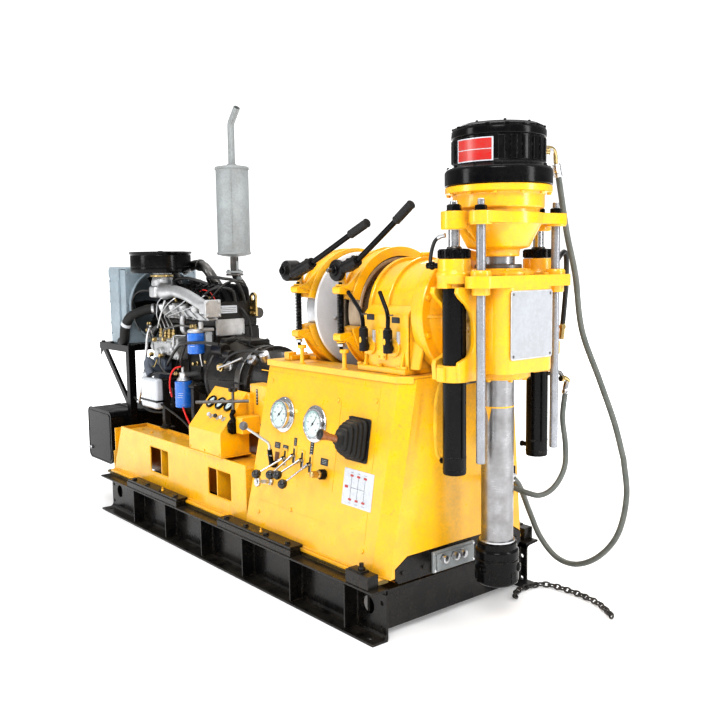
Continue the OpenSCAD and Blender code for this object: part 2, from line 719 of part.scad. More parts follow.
module feed_barrels() color(black) both_sides() turn_z(spindle_x, feed_y, [
  [0, 632], [barrel_r, 632], [barrel_r, 1356], [58, 1356], [58, 1392], [rod_r + fit, 1392],
  [rod_r + fit, 1350], [barrel_bore_r, 1350], [barrel_bore_r, 646], [0, 646]]);
module name_plate() {
  color(white) block(1526 + fit, 1528.5, -112, 112, 1035, 1275);
  color(dark) for (y = [-100, 100], z = [1047, 1263]) cyl_x(1528.5, 1532, y, z, 5);
}
module drive_sleeve() color(dark) turn_z(spindle_x, 0, [
  [spindle_r + fit, 956], [sleeve_r, 956], [sleeve_r, 1244], [128, 1244], [122, 1266],
  [sleeve_r, 1266], [sleeve_r, 1366], [spindle_r + fit, 1366]]);

// ---------------- feed crosshead ----------------
module crosshead() color(yellow) difference() {
  union() {
    translate([0, 0, 1507]) linear_extrude(height = 38) union() {
      translate([spindle_x, 0]) circle(r = 158);
      translate([1330, -226]) square([82, 452]);
      translate([1420, -200]) square([86, 400]);
      for (s = [-1, 1]) {
        translate([guide_x, s * guide_y]) circle(r = 40);
        translate([spindle_x, s * feed_y]) circle(r = 46);
      }
    }
    both_sides() cyl_z(spindle_x, feed_y, 1487, 1546, 46);
    turn_z(spindle_x, 0, [
      [0, 1394], [96, 1394], [96, 1410], [150, 1508], [156, 1545], [156, 1625], [188, 1628],
      [188, 1652], [0, 1652]]);
  }
  turn_z(spindle_x, 0, [
    [0, 1390], [spindle_r + 0.5, 1390], [spindle_r + 0.5, 1420], [84, 1420], [122, 1500],
    [126.5, 1580], [126.5, 1660], [0, 1660]]);
  both_sides() {
    cyl_z(spindle_x, feed_y, 1480, 1560, rod_neck_r + fit);
    cyl_z(guide_x, guide_y, 1500, 1560, guide_neck_r + fit);
  }
}
module piston_rods() color(steel) both_sides() turn_z(spindle_x, feed_y, [
  [0, 660], [barrel_bore_r - fit, 660], [barrel_bore_r - fit, 690], [rod_r, 690], [rod_r, 1487],
  [rod_neck_r, 1487], [rod_neck_r, 1546], [27, 1546], [27, 1572], [rod_neck_r, 1572],
  [rod_neck_r, 1580], [0, 1580]]);
module guide_rods() color(steel) both_sides() turn_z(guide_x, guide_y, [
  [0, 681], [guide_r, 681], [guide_r, 1507], [guide_neck_r, 1507], [guide_neck_r, 1545],
  [21, 1545], [21, 1565], [guide_neck_r, 1565], [guide_neck_r, 1584], [0, 1584]]);
module chuck_housing() color(black) difference() {
  turn_z(spindle_x, 0, [
    [0, 1652], [189, 1652], [189, 1704], [184, 1709], [168, 1709], [168, 1850], [160, 1858],
    [160, 1876], [0, 1876]]);
  turn_z(spindle_x, 0, [[0, 1650], [126, 1650], [126, 1850], [74, 1850], [74, 1880], [0, 1880]]);
}

// ---------------- spindle ----------------
module spindle_tube() color(steel) turn_z(spindle_x, 0, [
  [spindle_bore / 2, 205], [spindle_r, 205], [spindle_r, 1862], [spindle_bore / 2, 1862]]);
module lower_chuck() color(dark) {
  turn_z(spindle_x, 0, [
    [spindle_r, 341], [73, 341], [73, 316], [80, 312], [80, 194], [70, 183],
    [spindle_bore / 2, 183], [spindle_bore / 2, 205], [spindle_r, 205]]);
  for (i = [0 : 2]) about_spindle(i * 120 + 30) cyl_x(76, 88, 0, 252, 11);
}
module chuck_bowl() color(steel) turn_z(spindle_x, 0, [
  [spindle_r, 1430], [80, 1430], [118, 1500], [118, 1560], [125.9, 1600], [125.9, 1845],
  [spindle_r, 1845]]);

skid_frame();
slide_rails();
hold_down_bars();
travel_cylinder();
travel_rod();
main_frame();
front_housing();
front_beam();
top_deck();
console_box();
fuel_tank();
radiator_bracket();
radiator();
engine_block();
cylinder_head();
flywheel_housing();
intake_manifold();
air_cleaner();
exhaust_pipe();
injection_pump();
oil_filters();
fan_belt();
crankshaft();
cooling_fan();
input_shaft();
winch_shaft();
gearbox_housing();
winch_drum();
hoist_ring();
brake_band_left();
brake_band_right();
band_linings();
band_bolts();
hoist_lever();
brake_lever();
shift_lever_low();
shift_lever_high();
pressure_gauges();
panel_plates();
lever_boot();
feed_lever();
valve_lever_1();
valve_lever_2();
valve_lever_3();
valve_lever_4();
regulator_wheel();
relief_knob();
clutch_lever();
throttle_lever();
head_housing();
feed_barrels();
name_plate();
drive_sleeve();
crosshead();
piston_rods();
guide_rods();
chuck_housing();
spindle_tube();
lower_chuck();
chuck_bowl();
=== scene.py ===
"""Core drilling rig on a skid, with a diesel engine, winch, gearbox and hydraulic feed.

X runs along the skid: the drilling head stands at +X and the radiator at -X. The control panel
faces -Y, called the near side; +Y is the far side. Z is up and the floor is z = 0.
Shapes are in millimetres and become metres in Part.done. Outlines and stations are written
as tables, "a,b a,b ..." or "x,y,z x,y,z ...", which points() reads.
"""
import bpy
import bmesh
import json
import random
from math import copysign, cos, pi, radians, sin, sqrt, tan
from mathutils import Matrix, Vector
from mathutils.geometry import tessellate_polygon


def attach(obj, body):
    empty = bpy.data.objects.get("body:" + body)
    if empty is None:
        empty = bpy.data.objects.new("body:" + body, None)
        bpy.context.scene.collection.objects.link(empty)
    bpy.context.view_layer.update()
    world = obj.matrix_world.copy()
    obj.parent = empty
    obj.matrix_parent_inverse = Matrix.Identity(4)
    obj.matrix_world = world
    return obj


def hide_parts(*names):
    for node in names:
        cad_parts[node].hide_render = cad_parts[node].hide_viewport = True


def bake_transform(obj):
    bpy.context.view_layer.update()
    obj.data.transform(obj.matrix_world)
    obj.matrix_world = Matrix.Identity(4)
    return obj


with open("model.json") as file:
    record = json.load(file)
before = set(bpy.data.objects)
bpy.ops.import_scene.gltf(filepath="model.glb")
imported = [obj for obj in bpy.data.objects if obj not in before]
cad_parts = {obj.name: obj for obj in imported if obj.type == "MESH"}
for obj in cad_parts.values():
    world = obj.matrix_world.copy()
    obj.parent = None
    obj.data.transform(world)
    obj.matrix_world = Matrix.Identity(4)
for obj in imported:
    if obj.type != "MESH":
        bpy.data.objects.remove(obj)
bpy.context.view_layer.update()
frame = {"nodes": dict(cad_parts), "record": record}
random.seed(7)
rnd = random.Random(11)  # turns the bolt heads and jitters the chain

# ---------------------------------------------------------------- driving places
SHAFT_Z = 1181  # winch shaft, along X at y = 0
CRANK_Z = 800  # crankshaft, along X at y = 0
FAN_Z = 1150  # fan shaft, along X at y = 0
SPIN_X = 1371  # spindle, along Z at y = 0
CYL_Y = 226  # feed cylinders stand this far to each side of the spindle
GUIDE_X, GUIDE_Y = 1471, 200  # guide rods
HOUSE_Z0, HOUSE_Z1 = 227, 952  # foot and top of the housing under the winch
BANDS_X = (528, 812)  # middles of the two brake bands
STACK_X, STACK_Y = -568, 80  # exhaust stack
PANEL_TILT = radians(8.9)
CAMERA = (3464, -2382, 1370)
SIDES = (-1, 1)
SHARP = radians(34)  # edges steeper than this shade as hard edges

# panel x, z of each ball lever's pivot, then the middle of its ball
VALVES = (((481, 557), (443, -460, 501)), ((545, 578), (545, -457, 516)),
          ((604, 569), (595, -456, 524)), ((661, 560), (637, -461, 495)))

# ---------------------------------------------------------------- materials
MATS = {}


class Net:
    """Shorthand for building a node tree."""

    def __init__(self, tree):
        self.tree = tree
        tree.nodes.clear()

    def node(self, kind, **settings):
        node = self.tree.nodes.new("ShaderNode" + kind)
        for key, value in settings.items():
            setattr(node, key, value)
        return node

    def feed(self, socket, value):
        """Give an input a number, a colour or a link."""
        if isinstance(value, (int, float)):
            socket.default_value = value
        elif isinstance(value, (tuple, list)):
            socket.default_value = (*value[:3], 1)
        else:
            self.tree.links.new(value, socket)

    def place(self, stretch=None):
        """Object coordinates, optionally stretched into streaks."""
        where = self.node("TexCoord").outputs["Object"]
        if stretch is None:
            return where
        mapping = self.node("Mapping")
        mapping.inputs["Scale"].default_value = stretch
        self.feed(mapping.inputs["Vector"], where)
        return mapping.outputs["Vector"]

    def noise(self, where, scale, detail=4.0, rough=0.55, distortion=0.0):
        node = self.node("TexNoise")
        self.feed(node.inputs["Scale"], scale)
        self.feed(node.inputs["Detail"], detail)
        self.feed(node.inputs["Roughness"], rough)
        self.feed(node.inputs["Distortion"], distortion)
        self.feed(node.inputs["Vector"], where)
        return node.outputs["Fac"]

    def ramp(self, value, span, to=(0.0, 1.0)):
        """Map the span of the value onto to."""
        node = self.node("MapRange")
        for key, number in zip(("From Min", "From Max", "To Min", "To Max"), (*span, *to)):
            node.inputs[key].default_value = number
        self.feed(node.inputs["Value"], value)
        return node.outputs["Result"]

    def math(self, operation, first, second):
        node = self.node("Math", operation=operation)
        self.feed(node.inputs[0], first)
        self.feed(node.inputs[1], second)
        return node.outputs[0]

    def times(self, first, second):
        return self.math("MULTIPLY", first, second)

    def mix(self, amount, first, second):
        node = self.node("Mix", data_type="RGBA")
        for index, value in ((0, amount), (6, first), (7, second)):
            self.feed(node.inputs[index], value)
        return node.outputs[2]

    def bump(self, height, strength, distance=0.001):
        node = self.node("Bump")
        self.feed(node.inputs["Strength"], strength)
        self.feed(node.inputs["Distance"], distance)
        self.feed(node.inputs["Height"], height)
        self.feed(self.shader.inputs["Normal"], node.outputs[0])

    def edges(self, radius):
        """0 on flats, 1 on edges."""
        bevel = self.node("Bevel", samples=3)
        self.feed(bevel.inputs["Radius"], radius)
        geometry = self.node("NewGeometry")
        dot = self.node("VectorMath", operation="DOT_PRODUCT")
        self.feed(dot.inputs[0], bevel.outputs[0])
        self.feed(dot.inputs[1], geometry.outputs["Normal"])
        return self.ramp(dot.outputs["Value"], span=(0.995, 0.90))

    def upward(self):
        """1 where the surface faces up."""
        geometry = self.node("NewGeometry")
        split = self.node("SeparateXYZ")
        self.feed(split.inputs[0], geometry.outputs["Normal"])
        return self.ramp(split.outputs[2], span=(0.55, 0.98))

    def openness(self, distance):
        """Low in crevices, 1 in the open."""
        node = self.node("AmbientOcclusion", samples=3)
        self.feed(node.inputs["Distance"], distance)
        return node.outputs["AO"]

    def finish(self, **values):
        """Feed the shader; underscores stand for spaces."""
        for key, value in values.items():
            self.feed(self.shader.inputs[key.replace("_", " ")], value)


def material_net(name):
    material = bpy.data.materials.new(name)
    material.use_nodes = True
    net = Net(material.node_tree)
    output = net.node("OutputMaterial")
    net.shader = net.node("BsdfPrincipled")
    net.feed(output.inputs[0], net.shader.outputs[0])
    MATS[name] = material
    return net


def faded(colour, share):
    return [share * v for v in colour]


def paint(name, base, dark, rough=0.3, coat=0.35, wear=0.5, chip=(0.16, 0.15, 0.14),
          dust=(0.46, 0.40, 0.30), dusty=0.25, peel=0.10, metallic=0.0, edge=0.003, spec=0.5):
    """Paint with streaks, patchy grime, painted shade in the crevices, dust on top and chips along
    the edges.
    """
    net = material_net(name)
    where = net.place()
    large = net.noise(where, scale=2.2, detail=3)
    middle = net.noise(where, scale=14.0, detail=6, rough=0.62)
    fine = net.noise(where, scale=90.0, detail=5, rough=0.6)
    orange_peel = net.noise(where, scale=260.0, detail=2, rough=0.5)
    streak = net.noise(net.place((22, 22, 1.6)), scale=1.0, detail=5, rough=0.6)
    colour = net.mix(net.ramp(large, span=(0.35, 0.7), to=(0.0, 0.55)), base, dark)
    colour = net.mix(net.ramp(streak, span=(0.52, 0.78), to=(0.0, 0.28)), colour, dark)
    grime = net.times(middle, net.ramp(fine, span=(0.3, 0.7), to=(0.6, 1.3)))
    grime = net.ramp(grime, span=(0.34, 0.62), to=(0.0, 0.22))
    colour = net.mix(grime, colour, faded(dust, 0.35))
    # painted shade: the colour darkens to a dim dust tint in crevices and hollows, following
    # ambient occlusion
    painted_crevice_shade = net.times(net.ramp(net.openness(distance=0.035), span=(0.72, 0.25)),
                        net.ramp(middle, span=(0.3, 0.6), to=(0.45, 1.0)))
    colour = net.mix(net.times(painted_crevice_shade, 0.42), colour, faded(dust, 0.30))
    settled = net.times(net.upward(), net.ramp(middle, span=(0.36, 0.66), to=(0.15, 1.0)))
    colour = net.mix(net.times(settled, dusty), colour, dust)
    worn = net.times(net.edges(edge), net.ramp(fine, span=(0.50, 0.64)))
    colour = net.mix(net.times(worn, wear), colour, chip)
    gloss = net.ramp(middle, span=(0.3, 0.7), to=(rough - 0.06, rough + 0.12))
    gloss = net.math("ADD", gloss, net.times(settled, 0.25))
    net.finish(Base_Color=colour, Roughness=gloss, Metallic=metallic, Coat_Weight=coat,
               Coat_Roughness=0.12, Specular_IOR_Level=spec)
    relief = net.math("ADD", orange_peel, net.times(middle, 0.6))
    net.bump(relief, strength=peel, distance=0.0012)


def metal(name, base, dark, rough=0.3, brushed=None, grime=0.35, bump=0.12, scale=60.0,
          metallic=1.0, rust=0.0):
    """Bare metal; brushed stretches the fine grain along an axis."""
    net = material_net(name)
    where = net.place()
    middle = net.noise(where, scale=18.0, detail=6, rough=0.6)
    grain = net.noise(net.place(brushed) if brushed else where, scale=scale, rough=0.6)
    colour = net.mix(net.ramp(middle, span=(0.38, 0.68), to=(0.0, grime)), base, dark)
    tone = net.ramp(grain, span=(0.35, 0.75), to=(0.0, 0.35))
    colour = net.mix(tone, colour, faded(base, 0.6))
    if rust:
        blotch = net.noise(where, scale=34.0, detail=7, rough=0.7, distortion=0.6)
        spread = net.ramp(blotch, span=(0.56, 0.70), to=(0.0, rust))
        colour = net.mix(spread, colour, (0.20, 0.085, 0.03))
    # painted shade: near-black in crevices and hollows, following ambient occlusion
    painted_crevice_shade = net.ramp(net.openness(distance=0.02), span=(0.7, 0.2), to=(0.0, 0.5))
    colour = net.mix(painted_crevice_shade, colour, (0.03, 0.027, 0.024))
    mottle = net.math("ADD", middle, net.times(grain, 0.5))
    net.finish(Base_Color=colour, Metallic=metallic,
               Roughness=net.ramp(mottle, span=(0.4, 1.0), to=(rough - 0.08, rough + 0.18)))
    net.bump(grain, strength=bump)


def soft(name, base, dark, rough=0.6, scale=120.0, bump=0.2, spec=0.4):
    """Rubber, plastic and other non-metals with a light dusting."""
    net = material_net(name)
    where = net.place()
    middle = net.noise(where, scale=16.0, detail=5, rough=0.6)
    fine = net.noise(where, scale=scale, rough=0.6)
    colour = net.mix(net.ramp(middle, span=(0.35, 0.7), to=(0.0, 0.8)), base, dark)
    settled = net.times(net.upward(), net.ramp(middle, span=(0.4, 0.7), to=(0.0, 0.22)))
    colour = net.mix(settled, colour, (0.30, 0.27, 0.22))
    net.finish(Base_Color=colour, Specular_IOR_Level=spec,
               Roughness=net.ramp(fine, span=(0.3, 0.7), to=(rough - 0.08, rough + 0.12)))
    net.bump(fine, strength=bump, distance=0.0012)


def wood(name):
    net = material_net(name)
    rings = net.noise(net.place((30, 6, 6)), scale=3.0, detail=8, rough=0.6, distortion=1.2)
    fibre = net.noise(net.place((160, 14, 14)), scale=2.0, detail=5, rough=0.6)
    colour = net.mix(net.ramp(rings, span=(0.35, 0.65)),
                     (0.36, 0.13, 0.035), (0.12, 0.035, 0.010))
    pores = net.ramp(fibre, span=(0.45, 0.7), to=(0.0, 0.5))
    colour = net.mix(pores, colour, (0.07, 0.02, 0.008))
    net.finish(Base_Color=colour, Coat_Weight=0.5,
               Roughness=net.ramp(rings, span=(0.3, 0.7), to=(0.28, 0.42)))
    net.bump(fibre, strength=0.15, distance=0.0006)


# each entry: name, main colour, colour of the darker patches, then what differs from the defaults
paint("yellow", (0.93, 0.485, 0.002), (0.88, 0.41, 0.002), coat=0.40, wear=0.42,
      chip=(0.28, 0.20, 0.08), dust=(0.62, 0.50, 0.26), dusty=0.16, peel=0.07)
paint("deck_yellow", (0.90, 0.46, 0.004), (0.70, 0.33, 0.006), rough=0.42, coat=0.15,
      chip=(0.22, 0.16, 0.07), dust=(0.42, 0.30, 0.13), dusty=0.60)
paint("black", (0.002, 0.002, 0.003), (0.005, 0.005, 0.005), rough=0.18, coat=0.12, wear=0.45,
      chip=(0.20, 0.19, 0.18), dust=(0.05, 0.047, 0.04), dusty=0.10, spec=0.10, edge=0.0016)
paint("skid_black", (0.002, 0.002, 0.003), (0.007, 0.006, 0.005), rough=0.24, coat=0.20,
      wear=0.55, chip=(0.22, 0.17, 0.12), dust=(0.11, 0.095, 0.07), dusty=0.18, peel=0.16,
      spec=0.22, edge=0.0016)
paint("rough_black", (0.003, 0.003, 0.004), (0.010, 0.009, 0.008), rough=0.34, coat=0.0,
      dust=(0.15, 0.13, 0.11), dusty=0.30, peel=0.75, spec=0.22, edge=0.0016)
paint("engine", (0.005, 0.005, 0.006), (0.014, 0.013, 0.012), rough=0.36, coat=0.12, wear=0.7,
      chip=(0.30, 0.29, 0.27), dust=(0.16, 0.14, 0.11), dusty=0.32, peel=0.60, spec=0.22,
      edge=0.0016)
paint("grey_blue", (0.30, 0.37, 0.42), (0.20, 0.25, 0.29), rough=0.38, coat=0.15, wear=0.6,
      chip=(0.30, 0.30, 0.30), dust=(0.35, 0.33, 0.29), dusty=0.28, peel=0.20)
paint("slate", (0.085, 0.105, 0.14), (0.05, 0.06, 0.085), rough=0.45, coat=0.1, wear=0.3,
      chip=(0.3, 0.3, 0.3), dust=(0.2, 0.2, 0.2), dusty=0.15, peel=0.15)
paint("muffler", (0.34, 0.37, 0.38), (0.20, 0.21, 0.21), rough=0.50, coat=0.0,
      chip=(0.20, 0.12, 0.07), dust=(0.30, 0.25, 0.20), dusty=0.20, peel=0.35, metallic=0.25)
paint("blue", (0.004, 0.16, 0.62), (0.004, 0.09, 0.52), rough=0.24, coat=0.5, wear=0.3,
      chip=(0.5, 0.5, 0.5), dust=(0.3, 0.3, 0.3), dusty=0.10, peel=0.04)
paint("red", (0.50, 0.010, 0.008), (0.36, 0.008, 0.006), coat=0.3, wear=0.3, peel=0.05,
      dusty=0.1)
paint("white", (0.58, 0.61, 0.66), (0.50, 0.53, 0.58), rough=0.22, coat=0.3, wear=0.1,
      dust=(0.6, 0.58, 0.52), dusty=0.05, peel=0.03)
paint("plate_grey", (0.40, 0.415, 0.445), (0.34, 0.355, 0.385), rough=0.42, coat=0.1, wear=0.2,
      dust=(0.5, 0.48, 0.44), dusty=0.10, peel=0.06)
paint("orange", (0.80, 0.30, 0.01), (0.60, 0.20, 0.01), rough=0.45, coat=0.1, wear=0.3)
metal("steel", (0.66, 0.67, 0.69), (0.34, 0.33, 0.31), rough=0.26, bump=0.08, scale=120)
metal("disc", (0.88, 0.88, 0.90), (0.66, 0.66, 0.68), rough=0.42, brushed=(4, 60, 60),
      grime=0.3, bump=0.10, scale=6, metallic=0.45)
metal("tan_steel", (0.50, 0.40, 0.29), (0.28, 0.21, 0.14), rough=0.46, brushed=(60, 6, 6),
      grime=0.5, bump=0.15, scale=6, metallic=0.45)
metal("turned", (0.60, 0.61, 0.63), (0.30, 0.29, 0.27), rough=0.28, brushed=(90, 4, 4),
      grime=0.4, bump=0.10, scale=6)
metal("turned_z", (0.34, 0.34, 0.35), (0.16, 0.15, 0.14), rough=0.26, brushed=(4, 4, 160),
      grime=0.5, bump=0.14, scale=6)
metal("rod_steel", (0.33, 0.34, 0.37), (0.20, 0.20, 0.20), rough=0.20, brushed=(90, 90, 4),
      grime=0.4, bump=0.05, scale=6, metallic=0.6)
metal("chrome", (0.66, 0.67, 0.69), (0.42, 0.42, 0.42), rough=0.10, grime=0.3, bump=0.03,
      scale=200)
metal("iron", (0.115, 0.110, 0.105), (0.045, 0.043, 0.040), rough=0.42, brushed=(60, 6, 6),
      grime=0.6, bump=0.25, scale=5, rust=0.25)
metal("greased", (0.26, 0.19, 0.07), (0.08, 0.055, 0.02), rough=0.24, brushed=(3, 40, 40),
      grime=0.7, bump=0.25, scale=8, metallic=0.85)
metal("cast_alu", (0.60, 0.61, 0.62), (0.34, 0.34, 0.33), rough=0.42, grime=0.5, bump=0.45,
      scale=160)
metal("brass", (0.62, 0.47, 0.22), (0.34, 0.24, 0.10), rough=0.24, grime=0.4, bump=0.06,
      scale=120)
metal("dark_steel", (0.17, 0.165, 0.16), (0.07, 0.066, 0.06), rough=0.34, grime=0.5, bump=0.15,
      scale=90, rust=0.12)
soft("rubber", (0.007, 0.007, 0.007), (0.014, 0.014, 0.013), rough=0.58, bump=0.25)
soft("hose", (0.008, 0.008, 0.008), (0.018, 0.018, 0.017), rough=0.40, bump=0.18, scale=260,
     spec=0.55)
soft("hose_grey", (0.085, 0.095, 0.085), (0.14, 0.145, 0.13), rough=0.45, bump=0.18, scale=260,
     spec=0.5)
soft("hose_yellow", (0.80, 0.46, 0.02), (0.52, 0.28, 0.02), rough=0.5, bump=0.1)
soft("red_wire", (0.70, 0.02, 0.015), (0.42, 0.012, 0.01), rough=0.45, bump=0.05)
soft("plastic", (0.006, 0.006, 0.006), (0.012, 0.012, 0.012), rough=0.30, bump=0.10, scale=300,
     spec=0.6)
soft("ball", (0.006, 0.006, 0.007), (0.016, 0.016, 0.017), rough=0.22, bump=0.04, scale=200,
     spec=0.7)
soft("lining", (0.16, 0.095, 0.045), (0.07, 0.04, 0.02), rough=0.8, bump=0.5, scale=240)
soft("dial", (0.60, 0.68, 0.67), (0.50, 0.60, 0.60), rough=0.35, bump=0.02, scale=80)
soft("teal", (0.05, 0.45, 0.42), (0.04, 0.36, 0.34), rough=0.4, bump=0.02)
soft("brown", (0.20, 0.075, 0.025), (0.12, 0.05, 0.02), rough=0.5, bump=0.05)
soft("ball_grey", (0.10, 0.10, 0.11), (0.14, 0.14, 0.15), rough=0.30, bump=0.03, spec=0.6)
soft("ink", (0.02, 0.02, 0.02), (0.03, 0.03, 0.03), rough=0.4, bump=0.02)
wood("wood")


# ---------------------------------------------------------------- points and outlines
def vec(*place):
    return Vector(place[0] if len(place) == 1 else place)


FORE, FAR, UP = vec(1, 0, 0), vec(0, 1, 0), vec(0, 0, 1)
AFT, NEAR, DOWN = -FORE, -FAR, -UP


def points(table):
    """Read a table of points; a ready list passes through."""
    if isinstance(table, str):
        return [tuple(map(float, entry.split(","))) for entry in table.split()]
    return table


def square_to(axis):
    """Two unit vectors square to the axis."""
    axis = vec(axis).normalized()
    if abs(axis.z) > 0.999:
        first = axis.orthogonal().normalized()
    else:
        first = vec(0, 0, 1).cross(axis).normalized()
    return first, axis.cross(first)


def spokes(axis, count, start=0):
    """Evenly turned pairs of vectors about an X, Y or Z axis: outward, and along the rim."""
    for i in range(count):
        turn = radians(start + 360 / count * i)
        c, s = cos(turn), sin(turn)
        if abs(axis[0]) > 0.5:
            yield vec(0, c, s), vec(0, -s, c)
        elif abs(axis[1]) > 0.5:
            yield vec(c, 0, s), vec(-s, 0, c)
        else:
            yield vec(c, s, 0), vec(-s, c, 0)


def spline(stations, step):
    """Catmull-Rom through the stations, in steps of about the given length."""
    ends = stations[0] * 2 - stations[1], stations[-1] * 2 - stations[-2]
    run = [ends[0]] + stations + [ends[1]]
    out = []
    for i in range(1, len(run) - 2):
        a, b, c, d = run[i - 1:i + 3]
        count = max(3, int((c - b).length / step))
        for j in range(count):
            t = j / count
            out.append(0.5 * ((2 * b) + (c - a) * t + (2 * a - 5 * b + 4 * c - d) * t * t
                              + (3 * b - a - 3 * c + d) * t * t * t))
    out.append(stations[-1])
    return out


def arc(x, y, r, start, end, n):
    turns = [radians(start + (end - start) * i / n) for i in range(n + 1)]
    return [(x + r * cos(turn), y + r * sin(turn)) for turn in turns]


def rounded(x0, x1, y0, y1, r, n=4):
    """Rectangle with round corners."""
    return (arc(x1 - r, y1 - r, r, 0, 90, n) + arc(x0 + r, y1 - r, r, 90, 180, n)
            + arc(x0 + r, y0 + r, r, 180, 270, n) + arc(x1 - r, y0 + r, r, 270, 360, n))


def scalloped(radius, wave, lobes, n, x=0, y=0):
    """Circle with a wavy rim."""
    out = []
    for i in range(n):
        turn = 2 * pi * i / n
        r = radius + wave * cos(lobes * turn)
        out.append((x + r * cos(turn), y + r * sin(turn)))
    return out


def circle(x, y, r, n=28):
    return scalloped(r, 0, 0, n, x, y)


# Faces place a flat outline: each turns (across, up, out) into a point.
def on_x(x):
    return lambda across, up, out: (x + out, across, up)


def on_y(y, sign=1):
    return lambda across, up, out: (across, y + sign * out, up)


def on_z(z):
    return lambda across, up, out: (across, up, z + out)


def tilted(origin, rise, normal):
    return lambda across, up, out: origin + FORE * across + rise * up + normal * out


# the control panel leans back and the far wall leans in
PANEL_OUT = vec(0, -cos(PANEL_TILT), sin(PANEL_TILT))
PANEL_UP = vec(0, sin(PANEL_TILT), cos(PANEL_TILT))


def panel_y(z):
    return -392 + (z - 222) * tan(PANEL_TILT)


def wall_y(z):
    return 389 - (z - HOUSE_Z0) * 0.0772


def panel(x, z, out=0.0):
    """A point this far off the control panel."""
    return vec(x, panel_y(z) - out * cos(PANEL_TILT), z + out * sin(PANEL_TILT))


def panel_face(x, z):
    return tilted(panel(x, z), PANEL_UP, PANEL_OUT)


# ---------------------------------------------------------------- mesh building
def shell(verts, faces):
    bm = bmesh.new()
    made = [bm.verts.new(p) for p in verts]
    for face in faces:
        # skips a face that repeats another or a corner of its own
        try:
            bm.faces.new([made[i] for i in face])
        except ValueError:
            pass
    return bm


def face_out(bm):
    bmesh.ops.recalc_face_normals(bm, faces=bm.faces)


def dissolve_flat(bm, degrees):
    bmesh.ops.dissolve_limit(bm, angle_limit=radians(degrees), verts=bm.verts, edges=bm.edges)


def bevel_edges(bm, width, seg, sharp):
    edges = [e for e in bm.edges
             if len(e.link_faces) == 2 and e.calc_face_angle(0) > radians(sharp)]
    if edges:
        bmesh.ops.bevel(bm, geom=edges, offset=width, segments=seg, profile=0.5,
                        affect="EDGES", clamp_overlap=True)


def split_large(bm):
    bmesh.ops.triangulate(bm, faces=[f for f in bm.faces if len(f.verts) > 4])


